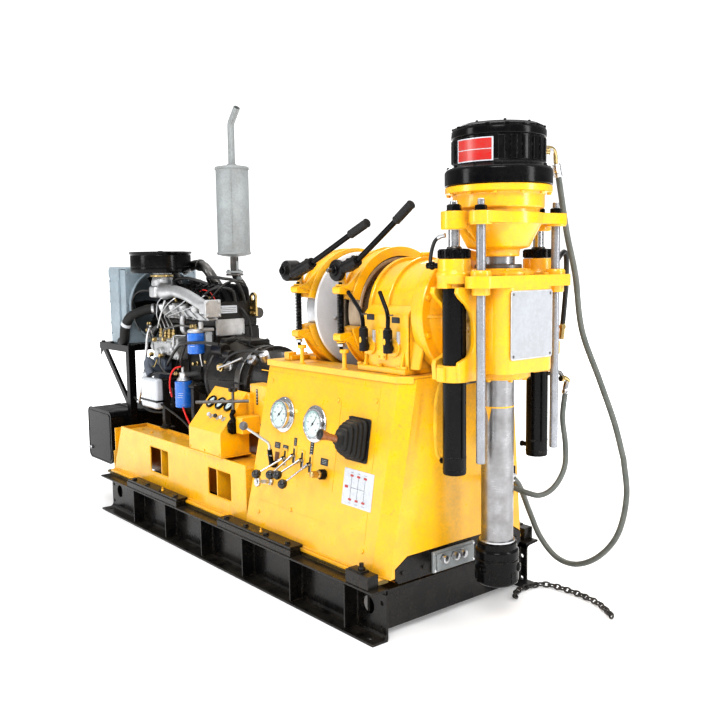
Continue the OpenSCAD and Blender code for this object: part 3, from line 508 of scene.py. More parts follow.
class Part:
    """Gathers closed shells into one mesh."""

    def __init__(self, name, material=None):
        self.name = name
        self.clear()
        self.materials = []
        self.slot = 0
        if material:
            self.use(material)

    def clear(self):
        self.verts, self.faces, self.slots = [], [], []

    def use(self, material):
        if material not in self.materials:
            self.materials.append(material)
        self.slot = self.materials.index(material)

    def add(self, verts, faces):
        first = len(self.verts)
        self.verts += [tuple(p) for p in verts]
        self.faces += [[i + first for i in face] for face in faces]
        self.slots += [self.slot] * len(faces)

    def take(self, bm):
        bm.verts.index_update()
        self.add([v.co.copy() for v in bm.verts], [[v.index for v in f.verts] for f in bm.faces])
        bm.free()

    def skin(self, verts, size, closed=False, flip=False):
        """Join rows of size verts; an open run is capped, a closed one meets its start."""
        rows = len(verts) // size
        faces = []
        for row in range(rows if closed else rows - 1):
            here, there = row * size, (row + 1) % rows * size
            for i in range(size):
                j = (i + 1) % size
                faces.append((here + i, here + j, there + j, there + i))
        if not closed:
            caps = [list(range(size)), list(range(len(verts) - size, len(verts)))[::-1]]
            faces += [cap[::-1] for cap in caps] if flip else caps
        self.add(verts, faces)

    def solid(self, verts, faces, bevel=2.0, seg=2, sharp=25):
        bm = shell(verts, faces)
        face_out(bm)
        if bevel > 0:
            bevel_edges(bm, bevel, seg, sharp)
        self.take(bm)

    def box(self, x0, x1, y0, y1, z0, z1, bevel=2.0, seg=2):
        verts = [(x, y, z) for z in (z0, z1) for y in sorted((y0, y1)) for x in (x0, x1)]
        faces = [(0, 2, 3, 1), (4, 5, 7, 6), (0, 1, 5, 4), (2, 6, 7, 3), (0, 4, 6, 2),
                 (1, 3, 7, 5)]
        self.solid(verts, faces, bevel, seg)

    def stack(self, lower, upper, bevel=0, seg=2, sharp=25):
        """Solid between two outlines with the same number of points."""
        n = len(lower)
        walls = [(i, (i + 1) % n, n + (i + 1) % n, n + i) for i in range(n)]
        caps = [list(range(n))[::-1], list(range(n, 2 * n))]
        self.solid(lower + upper, caps + walls, bevel, seg, sharp)

    def prism(self, outline, sweep, bevel=1.5, seg=2, sharp=25):
        outline = [vec(p) for p in outline]
        sweep = vec(sweep)
        self.stack(outline, [p + sweep for p in outline], bevel, seg, sharp)

    def along_x(self, outline, start, depth, bevel=1.5, seg=2, sharp=25, side=1):
        """Prism along X from a y,z outline; side -1 mirrors it in y."""
        self.prism([(start, side * y, z) for y, z in points(outline)], (depth, 0, 0),
                   bevel, seg, sharp)

    def along_y(self, outline, start, depth, bevel=1.5, seg=2):
        """Prism along Y from an x,z outline."""
        self.prism([(x, start, z) for x, z in points(outline)], (0, depth, 0), bevel, seg)

    def along_z(self, outline, start, depth, bevel=1.5, side=1):
        """Prism along Z from an x,y outline."""
        self.prism([(x, side * y, start) for x, y in points(outline)], (0, 0, depth), bevel)

    def plate(self, outline, face, thick, bevel=0.0, holes=()):
        """Flat plate with holes, laid on a face."""
        loops = [points(outline), *holes]
        flat = [p for loop in loops for p in loop]
        tris = tessellate_polygon([[vec(*p, 0) for p in loop] for loop in loops])
        n = len(flat)
        verts = [vec(face(*p, 0)) for p in flat] + [vec(face(*p, thick)) for p in flat]
        faces = [tuple(reversed(tri)) for tri in tris]
        faces += [tuple(i + n for i in tri) for tri in tris]
        first = 0
        for loop in loops:
            count = len(loop)
            for i in range(count):
                a, b = first + i, first + (i + 1) % count
                faces.append((a, b, b + n, a + n))
            first += count
        bm = shell(verts, faces)
        face_out(bm)
        dissolve_flat(bm, 0.5)
        if bevel > 0:
            bevel_edges(bm, bevel, 2, 25)
        split_large(bm)
        self.take(bm)

    def lathe(self, profile, base, axis, n=48, start=0.0):
        """Turn radius,height pairs about the axis from its base.

        Ends at radius 0 close; a profile with both ends off the axis closes on itself.
        """
        profile = points(profile)
        base, axis = vec(base), vec(axis).normalized()
        first, second = square_to(axis)
        closed = profile[0][0] > 1e-6 and profile[-1][0] > 1e-6
        verts, rings = [], []
        for r, height in profile:
            if r <= 1e-6:
                rings.append([len(verts)] * n)
                verts.append(base + axis * height)
                continue
            rings.append(range(len(verts), len(verts) + n))
            for i in range(n):
                turn = start + 2 * pi * i / n
                out = (first * cos(turn) + second * sin(turn)) * r
                verts.append(base + axis * height + out)
        faces = []
        count = len(profile)
        for j in range(count if closed else count - 1):
            low, high = rings[j], rings[(j + 1) % count]
            for i in range(n):
                k = (i + 1) % n
                quad = [low[i], low[k], high[k], high[i]]
                quad = [quad[c] for c in range(4) if quad[c] != quad[c - 1]]
                if len(quad) > 2:
                    faces.append(quad)
        area = 0.0
        for i in range(count):
            (r0, h0), (r1, h1) = profile[i], profile[(i + 1) % count]
            area += r0 * h1 - r1 * h0
        self.add(verts, [face[::-1] for face in faces] if area < 0 else faces)

    def on_shaft(self, profile, n):
        """Turn radius,x pairs about the winch shaft."""
        self.lathe(profile, (0, 0, SHAFT_Z), FORE, n)

    def on_spindle(self, profile, n):
        """Turn radius,z pairs about the spindle."""
        self.lathe(profile, (SPIN_X, 0, 0), UP, n)

    def swept(self, profile, x, start, end, n):
        """Turn radius,x pairs part way about the winch shaft; 0 degrees is the near side."""
        verts = []
        for i in range(n + 1):
            turn = radians(start + (end - start) * i / n)
            for r, shift in profile:
                verts.append((x + shift, -r * cos(turn), SHAFT_Z + r * sin(turn)))
        self.skin(verts, len(profile))

    def cyl(self, start, end, r, n=40, chamfer=1.2):
        start, end = vec(start), vec(end)
        length = (end - start).length
        c = min(chamfer, r * 0.45, length * 0.45)
        k = 0.29289 * c
        self.lathe([(0, 0), (r - c, 0), (r - k, k), (r, c), (r, length - c),
                    (r - k, length - k), (r - c, length), (0, length)], start, end - start, n)

    def ring(self, start, end, outer, inner, n=64, c=1.0):
        start, end = vec(start), vec(end)
        length = (end - start).length
        self.lathe([(inner, c), (inner + c, 0), (outer - c, 0), (outer, c),
                    (outer, length - c), (outer - c, length), (inner + c, length),
                    (inner, length - c)], start, end - start, n)

    def ball(self, middle, r, n=28, squash=1.0, axis=UP):
        half = n // 2
        self.lathe([(r * sin(pi * i / half), -r * squash * cos(pi * i / half))
                    for i in range(half + 1)], middle, axis, n)

    def tube(self, stations, r, n=14, smooth=True, radius_at=None):
        """Round tube; radius_at gives the radius for a share of the run."""
        path = [vec(p) for p in points(stations)]
        if smooth and len(path) > 2:
            path = spline(path, max(6.0, r * 0.9))
        last = len(path) - 1
        ahead = [(path[min(i + 1, last)] - path[max(i - 1, 0)]).normalized()
                 for i in range(last + 1)]
        first, second = square_to(ahead[0])
        verts = []
        for i, place in enumerate(path):
            if i:
                first = (ahead[i - 1].rotation_difference(ahead[i]) @ first).normalized()
                second = ahead[i].cross(first)
            radius = radius_at(i / last) if radius_at else r
            for j in range(n):
                turn = 2 * pi * j / n
                verts.append(place + (first * cos(turn) + second * sin(turn)) * radius)
        self.skin(verts, n, flip=True)

    def weld(self, start, end, r, n=8):
        """Straight bead."""
        self.tube([start, end], r, n, smooth=False)

    def rod(self, stations, r, n=18, bend=None):
        """Round bar with filleted corners."""
        path = [vec(p) for p in points(stations)]
        out = [path[0]]
        for a, b, c in zip(path, path[1:], path[2:]):
            cut = min(bend or r * 3, (a - b).length * 0.45, (c - b).length * 0.45)
            start, end = b + (a - b).normalized() * cut, b + (c - b).normalized() * cut
            for i in range(9):
                t = i / 8
                out.append(start * (1 - t) ** 2 + b * 2 * t * (1 - t) + end * t * t)
        out.append(path[-1])
        self.tube(out, r, n, smooth=False)

    def hexa(self, base, axis, flats, height, turn=0.0):
        """Hexagon, sized across its flats."""
        r = flats / sqrt(3)
        c = min(height * 0.18, flats * 0.08)
        self.lathe([(0, 0), (r, 0), (r, height - c), (r - c * 1.6, height), (0, height)],
                   base, axis, 6, turn)

    def bolt(self, place, axis, s=10, washer=True, cap=False):
        """Hexagon bolt head, or with cap a socket head; s is the bolt size."""
        place, axis = vec(place), vec(axis).normalized()
        h = 0.0
        if washer:
            self.lathe([(0, -0.3), (s * 1.08, -0.3), (s * 1.12, 0.1 * s), (s * 1.02, 0.18 * s),
                        (0, 0.18 * s)], place, axis, 20)
            h = 0.18 * s
        if cap:
            self.lathe([(0, h), (s * 0.78, h), (s * 0.80, h + s * 0.82),
                        (s * 0.72, h + s * 0.95), (s * 0.44, h + s * 0.95),
                        (s * 0.40, h + s * 0.5), (0, h + s * 0.5)], place, axis, 20)
        else:
            self.hexa(place + axis * h, axis, s * 1.62, s * 0.66, rnd.random())

    def bolts(self, places, axis, size, washer=True):
        for place in points(places):
            self.bolt(place, axis, size, washer)

    def bolt_circle(self, middle, axis, radius, count, size, start=0, **kind):
        for out, _ in spokes(axis, count, start):
            self.bolt(vec(middle) + out * radius, axis, size, **kind)

    def fins(self, count, outline, y, z, thick, bevel, seg=2):
        """Fins about an X axis at y, z; the outline is x,radius."""
        for out, along in spokes(FORE, count):
            self.prism([vec(x, y, z) + out * r + along * (thick / 2)
                        for x, r in points(outline)], -along * thick, bevel, seg)

    def radial(self, face, turn, outline, height, lift):
        """Flat mark on a face; the outline is radius,sideways, turned by turn."""
        c, s = cos(turn), sin(turn)
        self.prism([face(r * c - t * s, r * s + t * c, height) for r, t in points(outline)],
                   lift, 0)

    def tile(self, face, x0, x1, y0, y1, height, lift):
        corners = ((x0, y0), (x1, y0), (x1, y1), (x0, y1))
        self.prism([face(x, y, height) for x, y in corners], PANEL_OUT * lift, 0)

    def line(self, face, x0, y0, x1, y1, half=0.6, height=1.5):
        run = vec(x1 - x0, y1 - y0)
        out = vec(-run.y, run.x).normalized() * half
        self.prism([face(x0 + out.x, y0 + out.y, height), face(x1 + out.x, y1 + out.y, height),
                    face(x1 - out.x, y1 - out.y, height), face(x0 - out.x, y0 - out.y, height)],
                   PANEL_OUT * 0.5, 0)

    def plain_object(self):
        """Unscaled object for the boolean."""
        mesh = bpy.data.meshes.new(self.name)
        mesh.from_pydata(self.verts, [], self.faces)
        bm = bmesh.new()
        bm.from_mesh(mesh)
        face_out(bm)
        bm.to_mesh(mesh)
        bm.free()
        made = bpy.data.objects.new(self.name, mesh)
        bpy.context.scene.collection.objects.link(made)
        return made

    def carve(self, cutters, bevel, sharp):
        """Cut the cutters away, then bevel what is left."""
        block = self.plain_object()
        tools = [cutter.plain_object() for cutter in cutters]
        for tool in tools:
            cut = block.modifiers.new("b", "BOOLEAN")
            cut.operation = "DIFFERENCE"
            cut.solver = "EXACT"
            cut.object = tool
        graph = bpy.context.evaluated_depsgraph_get()
        mesh = bpy.data.meshes.new_from_object(block.evaluated_get(graph))
        bm = shell([tuple(v.co) for v in mesh.vertices], [list(p.vertices) for p in mesh.polygons])
        for made in [block] + tools:
            bpy.data.objects.remove(made)
        dissolve_flat(bm, 0.4)
        face_out(bm)
        bevel_edges(bm, bevel, 2, sharp)
        split_large(bm)
        self.clear()
        self.take(bm)

    def done(self, body=None, node=None, smooth=SHARP):
        """Make the object; it rides the body and replaces the CAD node."""
        mesh = bpy.data.meshes.new(self.name)
        mesh.from_pydata([(x * 0.001, y * 0.001, z * 0.001) for x, y, z in self.verts], [],
                         self.faces)
        mesh.validate()
        mesh.polygons.foreach_set("material_index", self.slots[:len(mesh.polygons)])
        bm = bmesh.new()
        bm.from_mesh(mesh)
        face_out(bm)
        for e in bm.edges:
            e.smooth = not (len(e.link_faces) == 2 and e.calc_face_angle(0) > smooth)
        for f in bm.faces:
            f.smooth = True
        bm.to_mesh(mesh)
        bm.free()
        for material in self.materials:
            mesh.materials.append(MATS[material])
        made = bpy.data.objects.new(self.name, mesh)
        bpy.context.scene.collection.objects.link(made)
        weighted = made.modifiers.new("wn", "WEIGHTED_NORMAL")
        weighted.keep_sharp = True
        weighted.weight = 60
        if body:
            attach(made, body)
        if node:
            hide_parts(node)
        return made


# ---------------------------------------------------------------- skid
SKID = 1192  # half length
part = Part("skid_beams", "skid_black")
for side in SIDES:
    part.plate([(-SKID, 8), (SKID, 8), (SKID, 192), (-SKID, 192)], on_y(side * 387, side), 9, 0.8,
               [circle(x, 112, 34) for x in (-1090, 1090)]
               + [circle(x, z, 9, 16) for x in (-1168, 1168) for z in (45, 140)])
    # rolled channel flanges with their taper and root radius
    part.along_x("387,200 463,200 463,191.5 412,187 401,183 396,175 387,175",
                 -SKID, 2 * SKID, 1.6, sharp=40, side=side)
    part.plate([(x, side * y) for x, y in ((-SKID, 388), (SKID, 388), (SKID, 463), (-SKID, 463))],
               on_z(0), 9.5, 1.2, [circle(x, side * 430, 11, 18) for x in (1140, -1140)])
    part.along_x("396,9 412,9 401,15 396,25", -SKID, 2 * SKID, 0.5, 1, 60, side)
    # web stiffeners
    for x in (-783, -422, -60, 302, 664, 1020):
        part.along_x("395,12 448,9 458,18 458,182 448,191 395,188", x, 8, 1.0, side=side)
        for seam in (x - 1.5, x + 9.5):
            part.weld((seam, side * 397.5, 14), (seam, side * 397.5, 186), 3.2)
            part.weld((seam, side * 398, 12.5), (seam, side * 450, 11), 3.0)
# box cross members
for x in (-1120, -800, 780, 1120):
    for z in (30, 174):
        part.box(x - 40, x + 40, -387, 387, z, z + 6, 1.5)
    for wall in (x - 40, x + 34):
        part.box(wall, wall + 6, -387, 387, 33, 177, 1.5)
    for side in SIDES:
        for seam in (x - 42, x + 42):
            part.weld((seam, side * 385, 30), (seam, side * 385, 178), 3.5)
part.done("skid", "skid_frame")

part = Part("slide_rail_bars", "greased")
for side in SIDES:
    part.along_x("345,200 404,200 404,209 399,214 350,214 345,209", -1232, 2380, 1.0, side=side)
    part.weld((-1190, side * 406, 201.5), (1146, side * 406, 201.5), 2.5)
part.done("skid", "slide_rails")

part = Part("hold_downs", "skid_black")
for side in SIDES:
    for x0, x1 in ((-850, -290), (100, 680)):
        part.box(x0, x1, side * 408, side * 460, 200.2, 228, 2.2)
        part.box(x0 + 4, x1 - 4, side * 393, side * 456, 228, 240, 2.4)
        for i in range(4):
            part.bolt((x0 + 50 + i * (x1 - x0 - 100) / 3, side * 436, 240), UP, 13)
    # end block with its stud
    part.box(1035, 1165, side * 408, side * 460, 200.2, 252, 3.5)
    part.box(1045, 1120, side * 414, side * 454, 250, 258, 2.5)
    part.cyl((1100, side * 434, 252), (1100, side * 434, 284), 8, 20, 1.5)
    part.hexa((1100, side * 434, 258), UP, 24, 11)
    for i in range(9):
        part.lathe("8,0 8.9,0.6 8,1.2", (1100, side * 434, 271 + i * 1.4), UP, 18)
part.done("skid", "hold_down_bars")

part = Part("grease_nipples", "yellow")
for side in SIDES:
    for x in (-480, 430):
        part.lathe("0,0 5,0 6.5,2 6.5,8 4,10 3.2,15 4.2,17 3.5,20 0,21",
                   (x, side * 436, 240), UP, 16)
part.use("orange")
part.box(1120, 1162, -330, -292, 200, 212, 2)
part.done("skid")

# ---------------------------------------------------------------- sliding frame rails
RAIL = "-1182,227 232,227 232,487 -1070,487"
WINDOWS = [rounded(-720, -512, 293, 432, 10), rounded(-110, 104, 293, 427, 10)]
part = Part("rail_frame", "yellow")
for side in SIDES:
    part.plate(RAIL, on_y(side * 374, side), 8, 2.2, WINDOWS)
    part.plate(RAIL, on_y(side * 222, side), 8, 2.0, WINDOWS)
    part.box(-1078, 232, side * 227, side * 377, 462, 470, 1.5)
    for x in (-1174, -604, -34, 222):
        part.box(x, x + 8, side * 227, side * 377, 229, 463, 1.5)
    part.along_y("-1181,228 -1070,486 -1062,486 -1173,228", side * 376, side * -150)
    part.box(-1180, 1148, side * 300, side * 406, 214.05, 227, 2.5)
    part.weld((-1176, side * 384, 229), (234, side * 384, 229), 4.2)
    # the folded edge of the windows
    for window in WINDOWS:
        for y in (374, 222):
            rim = [(x, side * (y + 4), z) for x, z in window]
            part.tube(rim + [rim[0]], 4.6, 8, smooth=False)
    part.bolts([(x, side * 300, 470) for x in (-980, -860, -300, -180)], UP, 9)
part.use("deck_yellow")
for x in (-1080, -160):
    part.box(x, x + 80, -222, 222, 240, 246, 1.2)
    part.box(x, x + 6, -222, 222, 246, 340, 1.2)
    part.box(x + 74, x + 80, -222, 222, 246, 340, 1.2)
part.use("yellow")
part.box(-1188, -1180, -382, 382, 214.05, 330, 2)
part.box(1060, 1140, -300, 300, 214.05, 227, 2)
part.box(520, 650, -300, 300, 214.05, 227, 2)
for y in (-48, 30.2):
    part.along_y("545,80 600,80 600,150 625,214 520,214 545,150", y, 17.8, 2)
part.done("carriage", "main_frame")


# ---------------------------------------------------------------- front housing
def house_outline(z, inset, left):
    """Level cut through the housing, brought in by the inset."""
    rise = z - HOUSE_Z0
    height = HOUSE_Z1 - HOUSE_Z0
    near, far = panel_y(z) + inset, wall_y(z)
    outline = [(left + inset, near), (1105 + rise * 37 / height - inset * 0.4, near),
               (1192 - inset, -372 + rise * 136 / height + inset * 1.1),
               (1192 - inset, far - 40 - inset * 0.4), (1150 - inset * 0.4, far - inset),
               (left + inset, far - inset)]
    return [(x, y, z) for x, y in outline]


part = Part("housing", "yellow")
part.stack(house_outline(HOUSE_Z0, 0, 236), house_outline(HOUSE_Z1, 0, 296))
hollow, notch, crank_hole, seat_hole = [Part("cutter") for _ in range(4)]
hollow.stack(house_outline(200, 8, 233.8), house_outline(990, 8, 299))
notch.along_x("-352,190 -352,262 -290,299 290,299 352,262 352,190", 1160, 60, 0)
crank_hole.cyl((200, 0, CRANK_Z), (340, 0, CRANK_Z), 62, 40, 0)
seat_hole.cyl((1120, 0, SHAFT_Z), (1240, 0, SHAFT_Z), 238, 72, 0)
cutters = [hollow, notch, crank_hole, seat_hole]
for (x, z), _ in VALVES:
    slot = Part("cutter")
    middle = panel(x, z, -14)
    slot.prism([middle + FORE * across + PANEL_UP * up
                for across, up in rounded(-7, 7, -30, 30, 6.5, 3)], PANEL_OUT * 30, 0)
    cutters.append(slot)
part.carve(cutters, 3.0, 22)
# weld seams along the foot
foot_y, foot_far = panel_y(231) - 1, wall_y(231) + 1
part.weld((240, foot_y, 230), (1103, foot_y, 230), 4.0)
part.weld((1105, panel_y(229) - 0.5, 229), (1190, -373, 229), 4.0)
part.weld((240, foot_far, 230), (1150, foot_far, 230), 4.0)
# far side cover with its bolts
part.plate(rounded(420, 900, 420, 800, 30, 5),
           lambda across, up, out: (across, wall_y(up) + out, up), 5, 1.2)
for x, z in ([(440 + i * 110, z) for i in range(5) for z in (436, 784)]
             + [(x, z) for z in (520, 610, 700) for x in (436, 884)]):
    part.bolt((x, wall_y(z) + 5, z), (0, 1, 0.07), 7)
part.done("carriage", "front_housing")

part = Part("front_member", "skid_black")
part.plate("""-335,203 -342,214.8 -350,215.2 -350,258 -289,296 289,296 350,258 350,215.2
    342,214.8 335,203""", on_x(1184), 7.5, 2.0, [rounded(-120, -40, 225, 280, 10)])
for side in SIDES:
    part.along_x("349,215.5 349,258 289,296 289,290 343,256 343,215.5", 1152, 33, side=side)
part.box(1152, 1185, -289, 289, 289, 296, 1.5)
part.bolts([(1191.5, y, 240) for y in (-315, -210, 160, 250, 315)], FORE, 9)
# pipe block with three unions
part.use("muffler")
part.box(1192, 1203, -168, 58, 206, 288, 2.5)
part.box(1203, 1209, -152, 42, 216, 278, 2.0)
part.use("steel")
part.bolts([(1203, y, z) for y in (-160, 50) for z in (214, 280)], FORE, 6)
for y in (-120, -62, -20):
    part.lathe("0,0 17,0 17,5 13,6 13,13 15,14 15,24 11,26 0,26", (1204, y, 256), FORE, 24)
    part.hexa((1212, y, 256), FORE, 28, 8)
part.done("carriage", "front_beam")

# ---------------------------------------------------------------- deck
part = Part("deck_plate", "deck_yellow")
part.plate("""288,-289 1142,-289 1190,-248 1190,-94 1147,-94 1147,94 1190,94 1190,298
    1152,341 288,341""", on_z(952.2), 9.8, 2.2,
           [points("480,-152 862,-152 862,152 480,152"),
            points("950,-200 1100,-200 1100,200 950,200")])
part.use("yellow")
for start, end in (((288, -290), (1142, -290)), ((1142, -290), (1190, -248))):
    run = vec(end[0] - start[0], end[1] - start[1], 0).normalized()
    part.prism([(*start, 936), (*end, 936), (*end, 961.5), (*start, 961.5)],
               vec(-run.y, run.x, 0) * 7.5, 2.4)
part.box(288, 296, -288, 341, 936, 958, 2)
part.box(288, 1152, 334, 341, 936, 958, 2)
# bearing pedestal
part.along_x("-96,962 -84,1120 -78,1200 -40,1262 40,1262 78,1200 84,1120 96,962", 430, 38, 4)
part.ring((424, 0, SHAFT_Z), (476, 0, SHAFT_Z), 84, 36, 56, 3)
for side in SIDES:
    part.along_x("84,962 150,962 84,1080", 440, 14, 2, side=side)
    part.box(424, 474, side * 84, side * 160, 962, 978, 3)
    part.bolt((449, side * 140, 978), UP, 12)
part.bolt_circle((424, 0, SHAFT_Z), AFT, 66, 6, 9, start=30)
# posts and pads by the brake bands
for x in (539, 823):
    part.lathe("0,0 16,0 15,4 9,8 8.5,66 0,66", (x, -279, 962), UP, 20)
    part.lathe("0,0 17,0 19,3 19,12 16,15 0,15", (x, -279, 1026), UP, 20)
for x in (486, 742):
    part.box(x - 40, x + 60, 160, 270, 962, 974, 3)
    part.bolts([(x - 20, 240, 974), (x + 40, 240, 974)], UP, 10)
part.box(380, 420, -250, -60, 962, 984, 4)
part.box(372, 408, -256, -214, 962, 998, 4)
part.bolts([(400, y, 984) for y in (-230, -160, -90)], UP, 10)
part.done("carriage", "top_deck")

# ---------------------------------------------------------------- winch
# radius and x of the lined band's section
BAND_SECTION = points("""224.2,-38 261,-38 262,-37 262,-29 260,-27 254,-26 252,-24 252,24
    254,26 260,27 262,29 262,37 261,38 224.2,38""")


def band(name, x, node):
    part = Part(name, "yellow")
    part.swept(BAND_SECTION, x, 13.2, 346.8, 110)
    for side in SIDES:
        def level(z):
            """Height mirrored about the shaft for the lower ear."""
            return SHAFT_Z + side * (z - SHAFT_Z)

        def ear(outline, start, depth, bevel, seg=2):
            part.along_x([(y, level(z)) for y, z in points(outline)], start, depth, bevel, seg)

        # ears with their gusset and bolt boss
        ear("-310,1264 -302,1258 -222,1252 -205,1290 -222,1300 -302,1288 -310,1282",
            x - 23, 46, 4, 3)
        ear("""-296,1284 -262,1296 -190,1362 -150,1388 -140,1366 -205,1284 -230,1262""",
            x + 12, 16, 3)
        ear("-236,1256 -206,1298 -170,1342 -160,1336 -220,1250", x - 34, 68, 2)
        part.ring((x, -285, level(1290)), (x, -285, level(1296)), 19, 8.4, 28, 1.2)
        part.weld((x - 20, -226, level(1262)), (x + 24, -226, level(1262)), 4)
    # foot of the band under the drum
    part.along_x("150,962.2 262,962.2 262,984 222,1040 180,1008", x - 30, 60, 3)
    part.bolt((x, 246, 986), (0, 0.6, 0.8), 10)
    # lever bracket and pin
    bracket = ((-42, 1281), (-6, 1281), (-6, 1350), (-12, 1368), (-36, 1368), (-42, 1350))
    part.along_y([(x + shift, z) for shift, z in bracket], -260, 10, 2)
    part.use("dark_steel")
    part.cyl((x - 20, -252, 1350), (x - 20, -334, 1350), 7.9, 20, 1.5)
    part.done("carriage", node)


band("band_left", BANDS_X[0], "brake_band_left")
band("band_right", BANDS_X[1], "brake_band_right")

COILS, COIL_STEPS = 26, 14  # turns of a band spring, and points in each turn
part = Part("band_springs", "black")
for x in BANDS_X:
    part.cyl((x, -285, 1046), (x, -285, 1304), 7.2, 18, 1.2)
    coil = []
    for i in range(COILS * COIL_STEPS + 1):
        turn = 2 * pi * i / COIL_STEPS
        coil.append((x + 12.4 * cos(turn), -285 + 12.4 * sin(turn),
                     1102 + 158 * i / (COILS * COIL_STEPS)))
    part.tube(coil, 2.3, 7, smooth=False)
    for z in (1100.2, 1258):
        part.ring((x, -285, z), (x, -285, z + 3.6), 17.5, 7.5, 28, 0.8)
    part.use("steel")
    part.hexa((x, -285, 1052), UP, 25, 12)
    part.cyl((x, -285, 1038), (x, -285, 1047), 6.4, 16, 1)
    part.use("black")
    part.hexa((x, -285, 1066), UP, 25, 5)
    for i in range(12):
        part.lathe("7.2,0 8.0,0.7 7.2,1.4", (x, -285, 1040 + i * 1.6), UP, 16)
part.done("carriage", "band_bolts")

part = Part("rope_drum", "turned")
part.on_shaft("""36,492 60,492 62,494 62,554 204,556 204,494 206,492 217.5,492 219,493.5
    219,564 217,566 101,566 101,580 36,580""", 96)
hub = vec(548, 0, SHAFT_Z)
for out, along in spokes(FORE, 8):
    part.prism([hub + out * r + along * t for r, t in ((66, 5), (200, 5), (200, -5), (66, -5))],
               (-22, 0, 0), 1.5)
part.use("disc")
part.on_shaft("""100,580.5 236,580.5 243,582 245,585 245,592 243,595 236,597 120,599
    112,603 101,610""", 120)
# grooved barrel, a groove each 12 mm
part.use("dark_steel")
barrel = [(60, 600), (100, 600)]
for x in range(604, 604 + 12 * 12, 12):
    barrel += [(100, x), (97.5, x + 3), (96.6, x + 6), (97.5, x + 9), (100, x + 12)]
part.on_shaft(barrel + [(100, 752), (60, 752)], 72)
part.use("turned")
part.on_shaft("60,750 230,750 236,752 237,755 237,762 235,764 60,764", 110)
part.bolt_circle((599, 0, SHAFT_Z), FORE, 147.6, 6, 9, start=12)
part.done("drum", "winch_drum")

part = Part("hoist_ring_gear", "tan_steel")
part.on_shaft("""36,767 70,767 72,776 160,777 160,786 72,788 70,850 36,850""", 72)
part.on_shaft("""162,777 217,776 219,778 219,846 217,848 207,848 205,846 205,800 203,798
    180,798 162,797""", 96)
part.use("turned")
# internal teeth
for out, along in spokes(FORE, 60):
    tooth = [out * r + along * t for r, t in ((163, -5), (163, 5), (152, 2.2), (152, -2.2))]
    part.stack([vec(778, 0, SHAFT_Z) + p for p in tooth], [vec(797, 0, SHAFT_Z) + p for p in tooth])
part.done("ring", "hoist_ring")


def hand_lever(name, body, node, hub_x, hub_y, depth, cap_y, y, stations):
    """Lever in the plane y; the stations are x,z: socket foot, socket top, bend, grip ends."""
    part = Part(name, "rough_black")
    # hub on the pin
    part.lathe([*points("8.2,0 30,0 33,2 36,4 41,6 43,9"), (43, depth - 10), (41, depth - 6),
                (37, depth - 4), (30, depth - 3), (18, depth - 3), (8.2, depth - 3)],
               (hub_x, hub_y, 1350), NEAR, 56)
    part.use("black")
    part.lathe("0,0 20,0 22,2 22,6 18,8 12,8 12,14 10,16 0,16", (hub_x, cap_y, 1350), NEAR, 32)
    part.use("rough_black")
    foot, top, bend, grip, tip = [vec(x, y, z) for x, z in points(stations)]
    run = (top - foot).normalized()
    # clamp socket with its cheeks and pinch bolts
    part.weld(foot, top, 21, 20)
    part.ball(foot, 22, 20)
    normal = vec(-run.z, 0, run.x)
    part.prism([foot - normal * 20 + FAR * 14, foot - normal * 24 + run * 30 + FAR * 14,
                top - normal * 22 - run * 12 + FAR * 14, top + normal * 22 - run * 12 + FAR * 14,
                foot + normal * 22 + FAR * 14], (0, -28, 0), 3)
    for share in (0.35, 0.75):
        part.bolt(foot.lerp(top, share) + normal * 21, normal, 8)
    part.use("black")
    part.rod([top - run * 10, bend, grip], 11, 20)
    run = (tip - grip).normalized()
    length = (tip - grip).length
    part.use("rubber")
    part.lathe([(0, 0), (15.5, 0), (17, 2), (17, 6), (16, 9), (16, length - 8),
                (17.5, length - 6), (17.5, length - 3), (15, length), (0, length)],
               grip - run * 2, run, 28)
    for i in range(int((length - 24) / 7)):
        part.lathe("15.8,0 16.9,1.6 16.9,3.4 15.8,5", grip + run * (12 + i * 7), run, 28)
    part.done(body, node)


hand_lever("hoist_lever_v", "hoist_handle", "hoist_lever", BANDS_X[1] - 20, hub_y=-268, depth=32,
           cap_y=-298, y=-278, stations="830,1360 912,1386 960,1418 1133,1528 1216,1583")
hand_lever("brake_lever_v", "brake_handle", "brake_lever", BANDS_X[0] - 20, hub_y=-270, depth=68,
           cap_y=-343, y=-325, stations="560,1340 684,1382 740,1405 930,1485 1029,1525")

# ---------------------------------------------------------------- gearbox case
SHIFT_X = (938, 1077)  # the two shift levers
CASE_SIDE = "900,984 1150,984 1150,1181 900,1181"
part = Part("gear_case", "yellow")
part.box(876, 1149, -258, 258, 962.2, 986, 4, 3)
part.plate(CASE_SIDE, on_y(-240), 10, 2.5, [circle(x, 1060, 12.4, 24) for x in SHIFT_X])
part.plate(CASE_SIDE, on_y(230), 10, 2.5)
for x in (900, 1140):
    part.plate("-236,984 236,984 236,1181 -236,1181", on_x(x), 10, 2,
               [circle(0, SHAFT_Z - 60, 50, 8)])
part.swept(points("193.2,0 205,0 205,250 193.2,250"), 900, -1.5, 181.5, 72)
# shoulders where the barrel of the case meets the box
for side in SIDES:
    part.along_x("204,1177 238,1177 239,1186 226,1200 203,1218", 902, 246, 3, side=side)
for x0, x1 in ((896, 912), (1000, 1012), (1138, 1150)):
    wide = x1 - x0
    part.swept([(200, 0), (216, 0), (218, 2), (218, wide - 2), (216, wide), (200, wide)],
               x0, -1, 181, 72)
# boss on the winch side with its stepped cover
part.on_shaft("""36,852 90,852 96,856 98,862 150,864 178,866 185,872 185,900 36,900""", 90)
part.bolt_circle((864, 0, SHAFT_Z), AFT, 138, 8, 10, start=20)
part.bolt_circle((857, 0, SHAFT_Z), AFT, 76, 6, 8, start=10)
part.on_shaft("196,900 196,906 36,906 36,900", 60)
